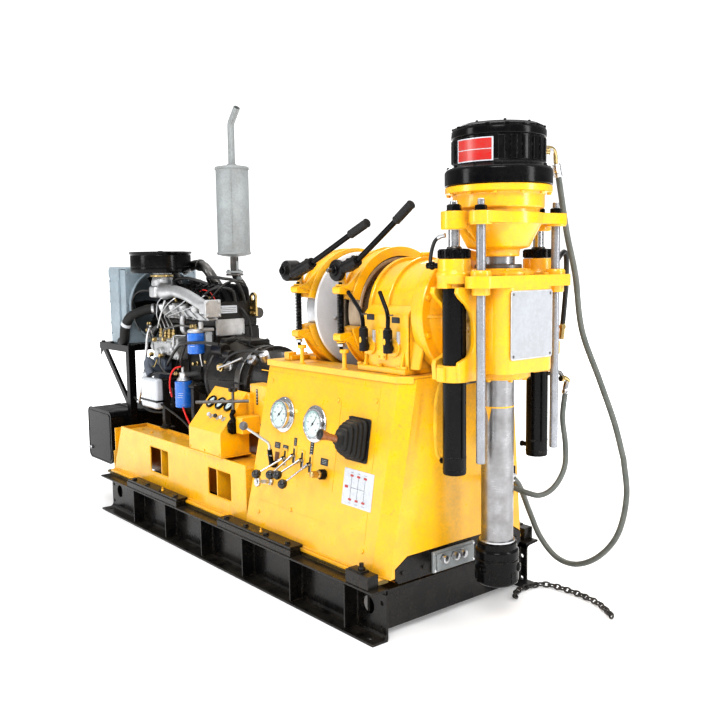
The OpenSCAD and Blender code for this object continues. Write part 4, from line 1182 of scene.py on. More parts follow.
# swivel seat
part.on_shaft("""36,1140 200,1140 222,1150 233,1158 235,1162 235,1189 233,1191.6
    36,1191.6""", 110)
part.bolt_circle((1157, 0, SHAFT_Z), AFT, 221, 12, 9, start=15)
# bearing hangers under the deck
for x in (960, 1070):
    part.plate("-90,715 90,715 90,963 -90,963", on_x(x), 18, 2,
               [circle(0, CRANK_Z, 25.6, 32)])
# covers, ribs and fixings on the near side
for x in SHIFT_X:
    part.lathe("13,0 32,0 34,2 34,9 32,11 20,12 20,17 13,17", (x, -240, 1060), NEAR, 36)
    part.bolt_circle((x, -250, 1060), NEAR, 27, 4, 4.5, start=45, washer=False)
part.plate(rounded(985, 1032, 1010, 1130, 8), on_y(-240, -1), 7, 1.5)
part.bolts([(x, -247, z) for z in (1022, 1118) for x in (994, 1023)], NEAR, 5)
part.bolts([(x, y, 986) for x in (884, 916, 1000, 1110, 1140) for y in (-250, 250)], UP, 11)
for x in (912, 1120):
    part.along_x("-241,986 -256,986 -241,1050", x, 10)
part.prism(points("1150,-232,984 1190,-225,984 1190,-205,1060 1150,-215,1090"), (0, 12, 0), 3)
# filler cap on top
part.lathe("0,0 26,0 28,3 28,12 20,15 20,24 24,27 24,38 20,41 0,41",
           (960, 40, SHAFT_Z + 196), UP, 32)
part.use("white")
for x in (958, 1097):
    part.box(x, x + 10, -249.5, -238, 1060, 1122, 2)
part.use("plastic")
part.plate(rounded(918, 962, 1160, 1182, 3), on_y(-240, -1), 1.5, 0.5)
part.plate(rounded(1062, 1106, 1153, 1175, 3), on_y(-240, -1), 1.5, 0.5)
part.done("carriage", "gearbox_housing")


def shifter(name, body, node, x, bend, tip):
    """Upright post on a cross pin with a cranked rod and a small ball."""
    part = Part(name, "rough_black")
    part.lathe("0,0 15,0 17.5,2 17.5,84 15,88 11,90 0,90", (x, -275, 1042), UP, 32)
    part.cyl((x, -262, 1060), (x, -206, 1060), 11.6, 28, 1.5)
    part.use("black")
    part.rod([(x, -275, 1125), bend, tip], 8, 18, bend=26)
    part.ball(tip, 8.6, 18)
    part.cyl((x, -275, 1128), (x, -275, 1137), 12, 6, 1)
    part.use("dark_steel")
    part.bolt((x + 17, -275, 1092), FORE, 5, washer=False)
    part.cyl((bend[0] + 4, bend[1], bend[2] - 4), (bend[0] + 26, bend[1], bend[2] - 2),
             3, 10, 0.6)
    part.use("yellow")
    # oval tag wrapped on the post
    part.plate([(x + 6 * cos(i * 0.3927), 1086 + 12 * sin(i * 0.3927)) for i in range(16)],
               lambda across, up, out: (across, -292.6 + abs(across - x) * 0.18 - out, up), 0.9)
    part.done(body, node)


shifter("shift_low_v", "shift_low", "shift_lever_low", SHIFT_X[0],
        (930, -275, 1187), (850, -275, 1264))
shifter("shift_high_v", "shift_high", "shift_lever_high", SHIFT_X[1],
        (1081, -275, 1187), (1037, -275, 1266))

# ---------------------------------------------------------------- swivelling head
part = Part("head_flange", "yellow")
part.lathe("""60,0 236,0 240,3 240,26 236,30 206,30 200,34 186,44 170,52 162,62 160,74
    60,74""", (1192.1, 0, SHAFT_Z), FORE, 120)
part.bolt_circle((1222, 0, SHAFT_Z), FORE, 220, 10, 11, start=18)
part.fins(8, "1221,158 1221,212 1262,160", 0, SHAFT_Z, 10, 1.2)
# cast body
body = [(1236, -147), (1330, -147), *arc(1466, -87, 60, 270, 360, 9),
        *arc(1466, 87, 60, 0, 90, 9), (1330, 147), (1236, 147)]
part.stack([(x, y, 985) for x, y in body], [(x, y, 1290) for x, y in body], 5, 3, 50)
# top flange with its four eyes
half = [(1262, -147), (1318, -147), (1324, -152), (SPIN_X - 55, -CYL_Y + 24),
        *arc(SPIN_X, -CYL_Y, 60, 158, 290, 14), (1408, -172), (1428, -172),
        (GUIDE_X - 48, -GUIDE_Y - 26), *arc(GUIDE_X, -GUIDE_Y, 55, 215, 350, 12),
        (1526, -170)]
part.plate(half + [(x, -y) for x, y in reversed(half)], on_z(1286), 41, 4,
           [circle(SPIN_X, 0, 88, 44), circle(SPIN_X, -CYL_Y, 42.5, 36),
            circle(SPIN_X, CYL_Y, 42.5, 36), circle(GUIDE_X, -GUIDE_Y, 16.6, 24),
            circle(GUIDE_X, GUIDE_Y, 16.6, 24)])
for side in SIDES:
    # cylinder seats with a rolled step
    part.lathe("""42.4,0 58,0 60,2 60,20 62,26 62,34 60,40 58,42 57,46 57,82 55,85
        42.4,85""", (SPIN_X, side * CYL_Y, 1301), UP, 64)
    # guide bush
    part.lathe("16.4,0 34,0 36,2 36,14 33,20 26,22 16.4,22",
               (GUIDE_X, side * GUIDE_Y, 1325), UP, 40)
    part.lathe("16.4,0 30,0 32,4 32,24 30,26 16.4,26", (GUIDE_X, side * GUIDE_Y, 1262), UP, 36)
    # arch webs under the flange
    for x, thick in ((1296, 22), (1414, 18)):
        part.along_x("""136,1290 268,1290 272,1270 258,1252 226,1228 204,1200 194,1172
            190,1130 192,1090 200,1066 220,1048 262,1034 266,1020 262,964 136,964""",
                     x, thick, 3, side=side)
    part.box(1318, 1414, side * 140, side * 158, 1000, 1288, 3)
    # clamp at the lower end of the barrel
    part.lathe("42.4,0 57,0 60,3 60,55 57,58 42.4,58", (SPIN_X, side * CYL_Y, 962), UP, 56)
    part.along_z("1336,140 1406,140 1400,182 1342,182", 966, 50, 4, side=side)
    part.along_x("146,1014 183,1014 146,1092", 1356, 28, 2.5, side=side)
    part.box(1356, 1386, side * 282, side * 300, 966, 1016, 3)
    # wall ribs and bosses on the flanks
    outward = (0, side, 0)
    part.along_x("146,1000 158,1010 158,1268 146,1284", 1300, 14, 2, side=side)
    part.lathe("0,0 34,0 36,2 36,12 33,14 0,14", (1392, side * 146, 1150), outward, 40)
    part.bolt_circle((1392, side * 160, 1150), outward, 26, 4, 5, start=45, washer=False)
    for z in (1010, 1262):
        part.lathe("0,0 12,0 13,1 13,8 0,8", (1420, side * 146, z), outward, 24)
        part.hexa((1420, side * 153, z), outward, 15, 7)
# bottom bearing cap
part.lathe("86,0 112,0 118,5 118,25 114,29 104,33 98,40 86,40", (SPIN_X, 0, 957), UP, 90)
part.bolt_circle((SPIN_X, 0, 957.5), DOWN, 101, 8, 10, start=22.5)
# top bearing cap
part.lathe("87,0 124,0 128,4 128,14 120,18 104,20 100,26 87,26", (SPIN_X, 0, 1325), UP, 80)
part.bolt_circle((SPIN_X, 0, 1342), UP, 113, 8, 8, start=10)
part.bolts("1290,-125,1327 1290,125,1327 1500,-110,1327 1500,110,1327 1500,0,1327", UP, 10)
part.done("head", "head_housing")

part = Part("feed_cylinders", "black")
for side in SIDES:
    foot = vec(SPIN_X, side * CYL_Y, 0)
    part.lathe("""0,631 36,631 39,632 41,635 41.4,640 41.4,1385 33.4,1385 33.4,650
        0,650""", foot, UP, 72)
    for z in (648, 690):
        part.lathe([(41, z), (42.2, z + 1), (42.2, z + 5), (41, z + 6)], foot, UP, 60)
    # gland nut with spanner notches
    part.lathe("21,1387 52,1387 54,1389 54,1417 52,1420 27,1422 25,1424 21,1424",
               foot, UP, 72)
    for out, along in spokes(UP, 20):
        rim = foot + UP * 1390 + out * 53.4
        part.prism([rim - along * 5, rim - along * 4.4 + out * 4, rim + along * 4.4 + out * 4,
                    rim + along * 5], (0, 0, 26), 1, 1)
    part.use("dark_steel")
    part.lathe("20.2,1422 25,1422.5 26,1424 25,1427 22,1429 20.2,1429", foot, UP, 40)
    part.use("black")
# banjo fittings on the seats
for side, x, y in ((-1, -0.94, -0.34), (1, 0.1, 0.99)):
    top = vec(SPIN_X, side * CYL_Y, 1364)
    out = vec(x, y, 0)
    part.cyl(top + out * 54, top + out * 84, 10, 20, 1.5)
    part.ball(top + out * 84, 15, 20)
    part.hexa(top + out * 94, out, 21, 11)
    y = side * (CYL_Y - 6)
    part.cyl((SPIN_X - 44, y, 668), (SPIN_X - 62, y, 668), 9, 20, 1.5)
    part.hexa((SPIN_X - 62, y, 668), AFT, 20, 10)
# pipes between the cylinders: x from the spindle, y, rise
CROSS_PIPE = [(-10, -CYL_Y + 38, 6), (-14, -CYL_Y + 52, 0), (-60, -120, -4), (-104, -60, -4)]
part.use("dark_steel")
for z in (952, 934):
    half = [(SPIN_X + x, y, z + rise) for x, y, rise in CROSS_PIPE]
    part.rod(half + [(x, -y, level) for x, y, level in reversed(half)], 6.5, 12, bend=40)
for side in SIDES:
    for z in (941, 957):
        part.hexa((SPIN_X - 6, side * (CYL_Y - 34), z), (-0.1, -side * 0.9, -0.1), 19, 12)
part.done("head", "feed_barrels")

part = Part("head_plate", "cast_alu")
part.plate(rounded(-112, 112, 1035, 1275, 10), on_x(1526.1), 2.4, 0.6)
part.use("plate_grey")
part.plate(rounded(-107, 107, 1040, 1270, 6), on_x(1528.2), 0.8, 0.2)
part.use("dark_steel")
for y in (-99, 99):
    for z in (1048, 1262):
        part.lathe("0,0 5,0 5,1 3.6,2.6 1.5,3.4 0,3.5", (1528.4, y, z), FORE, 20)
part.done("head", "name_plate")

part = Part("sleeve", "dark_steel")
part.on_spindle("59.6,955 82,955 85,958 85,1243 59.6,1243", 64)
part.on_spindle("""59.6,1240 122,1240 128,1246 121,1266 90,1266 85,1272 85,1362 82,1366
    59.6,1366""", 64)
# bevel gear teeth
axis = vec(SPIN_X, 0, 0)
for out, along in spokes(UP, 30):
    part.stack([axis + out * r + along * t + UP * z for r, t, z in
                ((92, 3, 1262), (92, -3, 1262), (122, -6, 1258), (122, 6, 1258))],
               [axis + out * r + along * t + UP * z for r, t, z in
                ((92, 1.5, 1271), (92, -1.5, 1271), (120, -2.6, 1270), (120, 2.6, 1270))])
part.done("sleeve", "drive_sleeve")

# ---------------------------------------------------------------- crosshead
part = Part("crosshead_casting", "yellow")
half = [*arc(SPIN_X, 0, 158, 180, 236, 14), (SPIN_X - 42, -CYL_Y + 30),
        *arc(SPIN_X, -CYL_Y, 46, 160, 300, 14), (1404, -188), (1424, -184),
        *arc(GUIDE_X, -GUIDE_Y, 40, 220, 350, 12), (1512, -150), (1506, -110),
        *arc(SPIN_X, 0, 158, -32, 0, 8)]
part.plate(half + [(x, -y) for x, y in reversed(half[1:-1])], on_z(1507), 38, 4,
           [circle(SPIN_X, 0, 118, 60), circle(SPIN_X, -CYL_Y, 15.2, 28),
            circle(SPIN_X, CYL_Y, 15.2, 28), circle(GUIDE_X, -GUIDE_Y, 12.2, 24),
            circle(GUIDE_X, GUIDE_Y, 12.2, 24)])
# bell below, cup above
part.on_spindle("""61,1393 73,1393 76,1396 76,1412 80,1418 104,1424 111,1427 114,1432
    132,1466 153,1508 123,1508 118,1484 98,1450 88,1434 61.5,1427""", 96)
part.on_spindle("""126.8,1540 144,1540 146,1544 146,1556 149,1560 160,1562 163,1566
    163,1606 166,1612 186,1615 190,1617 190,1637 188,1639.4 126.8,1639.4""", 110)
part.bolt_circle((SPIN_X, 0, 1614.5), DOWN, 178, 12, 9, start=8)
for side in SIDES:
    part.lathe("15.4,1486 42,1486 46,1490 46,1545 44,1548 30,1548 15.4,1548",
               (SPIN_X, side * CYL_Y, 0), UP, 56)
    part.lathe("12.4,1500 36,1500 38,1503 38,1546 12.4,1546",
               (GUIDE_X, side * GUIDE_Y, 0), UP, 40)
    # webs down to the bell
    part.along_x("100,1510 188,1510 176,1488 108,1436", 1362, 18, 3, side=side)
    part.along_x("130,1510 190,1510 160,1490", 1340, 12, 2, side=side)
part.lathe("0,0 10,0 11,1 11,10 0,10", (SPIN_X + 120, -96, 1588), (0.78, -0.62, 0), 20)
part.done("crosshead", "crosshead")

part = Part("feed_rods", "chrome")
for side in SIDES:
    part.lathe("""0,650 24,650 26,652 26,670 24,672 20,672 19.8,674 19.8,1486.5 15,1486.5
        15,1578 13,1580 0,1580""", (SPIN_X, side * CYL_Y, 0), UP, 48)
part.use("black")
for side in SIDES:
    part.lathe("15,0 28,0 29,1 29,3.4 15,3.4", (SPIN_X, side * CYL_Y, 1548), UP, 36)
    part.hexa((SPIN_X, side * CYL_Y, 1551), UP, 46, 21, 0.3)
part.use("steel")
for side in SIDES:
    part.cyl((SPIN_X, side * CYL_Y, 1571), (SPIN_X, side * CYL_Y, 1584), 14.4, 28, 2)
    for i in range(4):
        part.lathe("14.2,0 15,1 14.2,2", (SPIN_X, side * CYL_Y, 1572.5 + i * 2.2), UP, 28)
part.done("crosshead", "piston_rods")

part = Part("guides", "rod_steel")
for side in SIDES:
    part.lathe("0,681 13,681 15.9,684 15.9,1506.6 12,1506.6 12,1584 0,1584",
               (GUIDE_X, side * GUIDE_Y, 0), UP, 44)
part.use("black")
for side in SIDES:
    part.lathe("12,0 23,0 24,1 24,3 12,3", (GUIDE_X, side * GUIDE_Y, 1546), UP, 32)
    part.hexa((GUIDE_X, side * GUIDE_Y, 1549), UP, 36, 17, 0.1)
part.use("steel")
for side in SIDES:
    part.cyl((GUIDE_X, side * GUIDE_Y, 1565), (GUIDE_X, side * GUIDE_Y, 1587), 11.6, 24, 2)
part.done("crosshead", "guide_rods")

# ---------------------------------------------------------------- hydraulic chuck
part = Part("chuck", "black")
part.on_spindle("""126.4,1640.4 187,1640.4 191.5,1644 191.5,1690 189,1697 184,1702 174,1708
    167,1714 162,1724 162,1806 166,1808 168,1811 168,1830 166,1834 164,1838 126.4,1838""", 120)
part.on_spindle("""76,1836 162,1836 164,1838 164,1842 158,1846 150,1849 144,1853 84,1854
    76,1852""", 110)
# raised pads round the body: radius, offset along the rim
PAD = points("158,-14 166,-11 167.6,-7 167.6,7 166,11 158,14")
for out, along in spokes(UP, 24):
    part.prism([vec(SPIN_X, 0, 1722) + out * r + along * t for r, t in PAD], (0, 0, 80), 2)
# blocks on the top band, and a socket bolt beside every other one
for i, (out, along) in enumerate(spokes(UP, 16, start=6)):
    part.prism([vec(SPIN_X, 0, 1838) + out * r + along * t
                for r, t in ((160, -9), (166.6, -8), (166.6, 8), (160, 9))], (0, 0, 6), 1.2)
    if i % 2 == 0:
        part.bolt(vec(SPIN_X, 0, 1853) + out * 128, UP, 6, cap=True)
part.bolt_circle((SPIN_X, 0, 1703), UP, 178, 12, 7, start=15, cap=True)


def wrapped(part, inner, outer, start, end, z0, z1):
    """Plate curved about the spindle, between two angles in degrees."""
    verts = []
    for x, y in arc(0, 0, 1, start, end, 14):
        for r, z in ((inner, z0), (outer, z0), (outer, z1), (inner, z1)):
            verts.append((SPIN_X + r * x, r * y, z))
    part.skin(verts, 4)


# notice plate, white with two red fields
part.use("white")
wrapped(part, 166.4, 169.0, -104.5, -54.5, 1716, 1796)
part.use("red")
wrapped(part, 168.4, 169.8, -102.5, -56.5, 1720, 1755)
wrapped(part, 168.4, 169.8, -102.5, -56.5, 1758, 1792)
part.use("dark_steel")
part.on_spindle("70,1850 82,1850 84,1852 84,1860 80,1863 70,1863", 64)
# hose union on the far side
part.use("brass")
out = vec(0.62, 0.78, 0)
union = vec(SPIN_X, 0, 1762) + out * 160
part.hexa(union, out, 24, 12)
part.cyl(union + out * 10, union + out * 26, 9, 20, 1)
part.use("steel")
part.hexa(union + out * 24, out, 22, 12)
part.done("crosshead", "chuck_housing")

# ---------------------------------------------------------------- spindle
part = Part("spindle_tube_v", "turned_z")
part.on_spindle("46.6,205 57,205 59.4,208 59.4,1858 57,1862 46.6,1862", 90)
part.use("dark_steel")  # a material slot that no face uses
part.use("yellow")
part.lathe("58.6,0 60,0.4 60,5.6 58.6,6", (SPIN_X, 0, 848), UP, 90)
# painted mark hanging from the ring: degrees, bottom z, top z
MARK = points("""-98,849,849 -93,846,849 -88,832,849 -84,816,849 -81,800,849 -80,797,849
    -74,830,849 -70,849,849""")
verts, faces = [], []
for degrees, z0, z1 in MARK:
    turn = radians(degrees)
    for r in (59.0, 59.9):
        verts += [(SPIN_X + r * cos(turn), r * sin(turn), z) for z in (z0, z1 + 0.5)]
last = (len(MARK) - 1) * 4
for a in range(0, last, 4):
    b = a + 4
    faces += [(a, b, b + 1, a + 1), (a + 2, a + 3, b + 3, b + 2), (a, a + 2, b + 2, b),
              (a + 1, b + 1, b + 3, a + 3)]
faces += [(0, 1, 3, 2), (last, last + 2, last + 3, last + 1)]
part.add(verts, faces)
part.done("spindle", "spindle_tube")

part = Part("lower_chuck_v", "black")
part.on_spindle("""60,344 70,344 74,340 74,320 79,314 81,310 81,286 78.5,283 78.5,279
    81,276 81,198 78,190 70,184 46.8,184 46.8,204 60,204""", 96)
for out, _ in spokes(UP, 3, start=30):
    seat = vec(SPIN_X, 0, 248) + out * 76
    part.cyl(seat, seat + out * 10, 17, 28, 1.5)
    part.lathe("0,0 11,0 11,3 5.5,3 5.5,-2 0,-2", seat + out * 9, out, 6)
for out, along in spokes(UP, 6):
    seat = vec(SPIN_X, 0, 200) + out * 78
    part.prism([seat - along * 12, seat - along * 12 + out * 4.6, seat + along * 12 + out * 4.6,
                seat + along * 12], (0, 0, 36), 1.2)
part.use("steel")
part.on_spindle("59.6,344 66,344 67,345 67,350 66,351 59.6,351", 72)
part.done("spindle", "lower_chuck")

part = Part("chuck_bowl_v", "dark_steel")
part.on_spindle("""59.8,1430 76,1430 80,1434 88,1450 112,1490 118,1502 118,1560 122,1580
    125.4,1602 125.4,1842 122,1845 59.8,1845""", 80)
part.done("spindle", "chuck_bowl")

# ---------------------------------------------------------------- engine
part = Part("block", "engine")
# crankcase with stepped sides
part.along_x("""-118,742 118,742 136,770 138,900 128,930 128,1058 -128,1058 -128,930
    -138,900 -136,770""", -1008, 582, 5, 3)
for side in SIDES:
    for i in range(5):
        part.along_x("126,1050 140,1040 146,900 144,776 126,760", -985 + i * 134, 16, 2,
                     side=side)
    # long rail along the pan joint and the gasket face under the head
    part.box(-1006, -427, side * 118, side * 152, 742, 758, 3)
    part.box(-1004, -429, side * 110, side * 136, 1042, 1058, 3)
    part.bolts([(-990 + i * 42, side * 145, 758) for i in range(14)], UP, 7)
    # core plugs
    for i in range(4):
        part.lathe("0,0 24,0 26,2 26,7 21,8 19,4 0,4", (-900 + i * 134, side * 127, 985),
                   (0, side, 0), 28)
# pan
part.along_x("-112,742 -115,720 -112,600 -92,552 92,552 112,600 115,720 112,742",
             -988, 546, 8, 3)
part.box(-780, -500, -96, 96, 547, 620, 14, 4)
part.cyl((-560, -100, 580), (-560, -118, 580), 16, 24, 2)
part.hexa((-560, -116, 580), NEAR, 24, 9)
for i in range(6):
    part.along_x("-114,730 -120,722 -118,610 -100,590", -950 + i * 94, 8)
# timing cover and water pump
part.along_x("""-96,702 96,702 128,740 128,980 104,1060 88,1160 56,1198 -56,1198 -88,1160
    -104,1060 -128,980 -128,740""", -1010, -34, 7, 3)
for y, z in points("""-112,760 -116,860 -116,960 -92,1068 -74,1150 0,1184 74,1150 92,1068
        116,960 116,860 112,760 50,716 -50,716"""):
    part.lathe("0,0 13,0 13,6 0,6", (-1042, y, z), AFT, 16)
    part.bolt((-1048, y, z), AFT, 7)
part.lathe("0,0 70,0 74,4 70,12 50,16 44,24 44,66 40,68 0,68", (-1043, 0, FAN_Z), AFT, 48)
part.lathe("0,0 66,0 66,8 56,16 52,22 0,22", (-1043, 0, CRANK_Z), AFT, 48)
for i in range(6):
    part.bolt((-1058, 60 * cos(i * 1.047), FAN_Z + 60 * sin(i * 1.047)), AFT, 6)
# engine feet
for x in (-870, -540):
    for side in SIDES:
        part.box(x, x + 60, side * 132, side * 240, 746, 760, 3)
        for web in (x + 4, x + 46):
            part.along_x("134,748 134,706 190,710 237,748", web, 10, 2, side=side)
        part.box(x + 14, x + 46, side * 200, side * 234, 512, 742, 3)
        part.box(x - 4, x + 64, side * 178, side * 244, 488, 497, 3)
        part.bolts([(x + 14, side * 218, 760), (x + 46, side * 218, 760)], UP, 11)
        part.use("rubber")
        part.lathe("0,496 22,496 25,500 25,509 22,513 0,513", (x + 30, side * 217, 0), UP, 28)
        part.use("engine")
# alternator on the far side
part.use("cast_alu")
part.lathe("""0,0 52,0 60,5 62,12 62,60 59,62 59,74 62,76 62,150 58,160 46,166
    0,166""", (-1026, 205, 930), FORE, 48)
part.fins(16, "-1012,58 -1012,64 -966,64 -966,58", 205, 930, 6, 0.8, 1)
part.use("engine")
part.box(-1000, -900, 128, 182, 902, 958, 6)
part.lathe("0,0 40,0 44,3 44,22 40,25 0,25", (-1054, 205, 930), FORE, 40)
# starter
part.use("black")
part.lathe("""0,0 40,0 46,5 48,12 48,150 45,152 45,156 48,158 48,244 40,252
    0,252""", (-680, 190, 830), FORE, 44)
part.lathe("0,0 24,0 26,3 26,130 22,134 0,134", (-610, 176, 896), FORE, 32)
part.use("engine")
part.box(-560, -480, 130, 162, 800, 852, 6)
# cover plates at the gearbox end and on the near side
part.use("cast_alu")
part.plate(rounded(-132, 37, 1014, 1100, 8), on_x(-425), 12, 2)
part.bolts([(-413, y, z) for y in (-122, 27) for z in (1024, 1090)], FORE, 6)
part.plate(rounded(-520, -436, 962, 1036, 8), on_y(-129, -1), 10, 2)
part.bolts([(x, -139, z) for x in (-511, -445) for z in (972, 1026)], NEAR, 5)
# dipstick, taps and sender on the near side
part.use("steel")
part.rod("-540,-150,850 -540,-160,900 -530,-168,1010 -534,-160,1060", 5, 10)
part.ball((-534, -160, 1066), 8, 14)
part.use("brass")
for x, y, z in points("-470,-140,880 -600,-140,860 -780,-136,820"):
    part.hexa((x, y, z), NEAR, 22, 12)
    part.cyl((x, y - 10, z), (x, y - 30, z), 7, 16, 1.5)
    part.hexa((x, y - 28, z), NEAR, 17, 9)
part.use("cast_alu")
part.lathe("0,0 26,0 28,3 28,16 22,22 20,44 16,50 0,50", (-250, -150, 874), NEAR, 36)
part.use("brass")
part.lathe("0,0 19,0 21,2 21,14 14,16 14,26 0,26", (-250, -200, 874), NEAR, 28)
part.use("steel")
part.rod("-250,-222,874 -200,-216,888 -61,-204,934", 6, 12)
# bent pipe and its flange on the near side
part.use("cast_alu")
part.tube("-700,-150,1128 -700,-168,1110 -700,-170,1040 -700,-150,1020", 17, 18)
part.box(-722, -678, -176, -128, 1108, 1128, 4)
part.done("carriage", "engine_block")

part = Part("head_and_cover", "engine")
part.along_x("""-122,1060 122,1060 124,1080 118,1172 112,1176 -112,1176 -118,1172
    -124,1080""", -998, 571, 4)
for i in range(10):
    x = -966 + i * 57
    for side in SIDES:
        part.lathe("0,0 13,0 14,1 14,96 12,99 0,99", (x, side * 116, 1078), UP, 20)
        part.bolt((x, side * 112, 1177), UP, 10)
# valve cover with its ribs and nuts
part.use("black")
part.along_x("""-98,1176 98,1176 98,1190 92,1196 88,1236 74,1262 56,1274 -56,1274 -74,1262
    -88,1236 -92,1196 -98,1190""", -976, 530, 7, 3)
for i in range(7):
    part.along_x("-90,1200 -93,1236 -78,1266 -56,1279 56,1279 78,1266 93,1236 90,1200",
                 -930 + i * 75, 10, 2)
for x in (-890, -760, -630, -500):
    part.lathe("0,0 16,0 16,4 11,6 11,10 0,10", (x, 0, 1273), UP, 24)
    part.hexa((x, 0, 1281), UP, 19, 9)
# oil filler
part.lathe("0,0 26,0 26,8 34,12 34,26 30,30 0,30", (-824, -20, 1272), UP, 36)
for out, _ in spokes(UP, 8):
    part.lathe("0,0 6,0 6,14 0,14", vec(-824, -20, 1285) + out * 32, UP, 10)
# thermostat housing, then a row of round caps leaning to the near side
part.lathe("0,0 30,0 32,3 32,40 26,48 0,48", (-1000, 30, 1200), AFT, 28)
for x, y, r in points("-716,-66,24 -654,-74,27 -590,-78,27 -528,-74,27 -474,-64,24"):
    part.lathe([(0, 0), (r - 3, 0), (r, 4), (r, 40), (r - 3, 44), (r - 9, 46), (r - 9, 54),
                (0, 56)], (x, y, 1222), (0, -0.34, 0.94), 30)
# injector stubs and their pipes
part.use("brass")
for i in range(4):
    x = -890 + i * 130
    part.cyl((x, -104, 1180), (x, -112, 1204), 9, 18, 1.2)
    part.hexa((x, -112, 1204), (0, -0.3, 0.95), 20, 10)
part.use("steel")
for i in range(4):
    x = -890 + i * 130
    pump_x = -948 + i * 50
    part.rod([(x, -115, 1212), (x + 6, -150, 1226),
              (x - 30 + i * 8, -206 - i * 3, 1190 - i * 8), (pump_x + 20, -212 - i * 3, 1110),
              (pump_x, -186, 1066), (pump_x, -176, 1036)], 3.4, 9, bend=30)
part.use("hose")
part.tube("-940,-60,1270 -900,-96,1300 -780,-104,1312 -680,-92,1300 -600,-60,1276", 9, 12)
part.tube("""-640,-30,1276 -600,-70,1312 -520,-84,1318 -440,-70,1310 -386,-30,1296
    -380,6,1240 -392,30,1180""", 8, 12)
part.tube("""-560,-128,1160 -540,-150,1196 -480,-140,1240 -420,-126,1262 -384,-90,1262
    -376,-50,1240 -390,-30,1190""", 8, 12)
part.tube("""-500,-120,1110 -490,-150,1140 -440,-150,1200 -396,-130,1250 -380,-80,1290
    -376,-10,1292 -386,40,1260 -404,60,1200""", 5, 10)
part.tube("-420,20,1150 -396,30,1130 -388,50,1080 -392,60,1010 -404,60,960", 7, 12)
part.use("red_wire")
part.tube("-640,-96,1240 -560,-118,1250 -490,-118,1236 -440,-112,1190", 3, 8)
# end plate, label and lifting eye at the gearbox end
part.use("engine")
part.along_x("-117,1064 117,1064 117,1170 80,1190 -80,1190 -117,1170", -428, 8, 2)
part.box(-640, -432, -131, -122, 1066, 1158, 3)
part.use("white")
part.plate(rounded(-100, -4, 1130, 1170, 3), on_x(-420), 2.2, 0.5)
part.use("engine")
part.bolts("-420,-106,1078 -420,106,1078 -420,-106,1160 -420,106,1160 -420,0,1082", FORE, 8)
part.use("ink")
for z in (1139, 1148, 1157):
    part.box(-418, -417.2, -94, -10, z, z + 1.8, 0)
part.use("brass")
part.plate([(-425, 1111), (-365, 1111), (-365, 1196), *arc(-395, 1205, 29.5, -10, 190, 22),
            (-425, 1196)], on_y(78), 12, 1.2, [circle(-395, 1207, 15.05, 28)])
part.bolts("-412,78,1126 -380,78,1126 -412,78,1152", NEAR, 9)
part.use("engine")
part.box(-432, -408, 91, 116, 1104, 1150, 3)
part.done("carriage", "cylinder_head")

part = Part("bell_housing", "engine")
part.lathe("""30.2,0 200,0 212,6 214.5,14 214.5,30 207,36 203,66 199,96 186,150 168,230
    160,300 160,326 176,330 178,334 178,350 176,354 160,358 150,376 136,420 122,470 116,492
    62,494 58,498 58,515 54,517 25.2,517 25.2,60 30.2,50""", (-422, 0, CRANK_Z), FORE, 96)
for out, _ in spokes(FORE, 16, start=8):
    part.bolt(vec(-70, 0, CRANK_Z) + out * 168, FORE, 8)
    part.bolt(vec(-394, 0, CRANK_Z) + out * 209, FORE, 7)
part.fins(10, "-388,196 -388,210 -300,198 -120,172 -94,172 -94,150", 0, CRANK_Z, 10, 2)
for side in SIDES:
    part.box(-154, -96, side * 142, side * 219, 702, 758, 4)
    part.box(-148, -102, side * 172, side * 218, 352, 704, 4)
    part.box(-156, -84, side * 160, side * 219, 340.6, 354, 3)
    part.bolt((-125, side * 184, 758), UP, 11)
# top cover, and the small drums and linkage on the near side
part.box(-330, -210, -62, 62, 968, 1000, 8, 3)
part.bolts([(x, y, 999) for x in (-318, -222) for y in (-50, 50)], UP, 6)
part.box(-400, -340, -128, -40, 960, 1006, 14, 3)
part.lathe("0,0 30,0 33,3 33,90 29,96 0,96", (-396, -150, 952), FORE, 30)
part.lathe("0,0 22,0 24,3 24,60 0,62", (-300, -150, 930), FORE, 26)
part.use("steel")
part.lathe("0,0 24,0 26,3 26,26 14,30 14,44 0,44", (-80, -120, 905), (0.1, -0.75, 0.65), 32)
part.lathe("0,0 22,0 24,2 24,40 18,44 0,44", (20, -120, 925), (0.3, -0.5, 0.8), 28)
part.use("hose")
part.tube("40,-128,955 0,-160,965 -80,-180,965 -170,-196,940 -240,-200,890", 7, 12)
part.done("carriage", "flywheel_housing")

# ---------------------------------------------------------------- intake, air cleaner
part = Part("intake", "cast_alu")
part.box(-952, -440, -141, -126, 1092, 1158, 4)
for i in range(4):
    x = -890 + i * 120
    part.tube([(x, -132, 1122), (x, -160, 1126), (x, -182, 1146), (x, -190, 1172)], 25, 22)
    part.box(x - 42, x + 42, -147, -139, 1092, 1158, 6)
    part.bolts([(hole, -147, z) for hole in (x - 33, x + 33) for z in (1102, 1148)], NEAR, 7)


def log_radius(t):
    """Swells below the elbow, then narrows towards the gearbox end."""
    if t < 0.18:
        return 48 + 60 * t
    return max(30, 59 - 100 * (t - 0.18)) if t < 0.45 else 32 - 2 * t


# log pipe that runs into the square end flange
part.tube("""-985,-138,1330 -982,-141,1306 -975,-148,1275 -935,-158,1240 -860,-165,1238
    -777,-170,1242 -690,-175,1232 -610,-180,1218 -500,-186,1190 -430,-189,1172
    -352,-190,1164""", 32, 36, radius_at=log_radius)
part.box(-362, -338, -236, -146, 1116, 1206, 5, 3)
part.bolts([(-338, y, z) for y in (-224, -158) for z in (1128, 1194)], FORE, 8)
part.box(-430, -360, -226, -156, 1130, 1196, 12, 4)
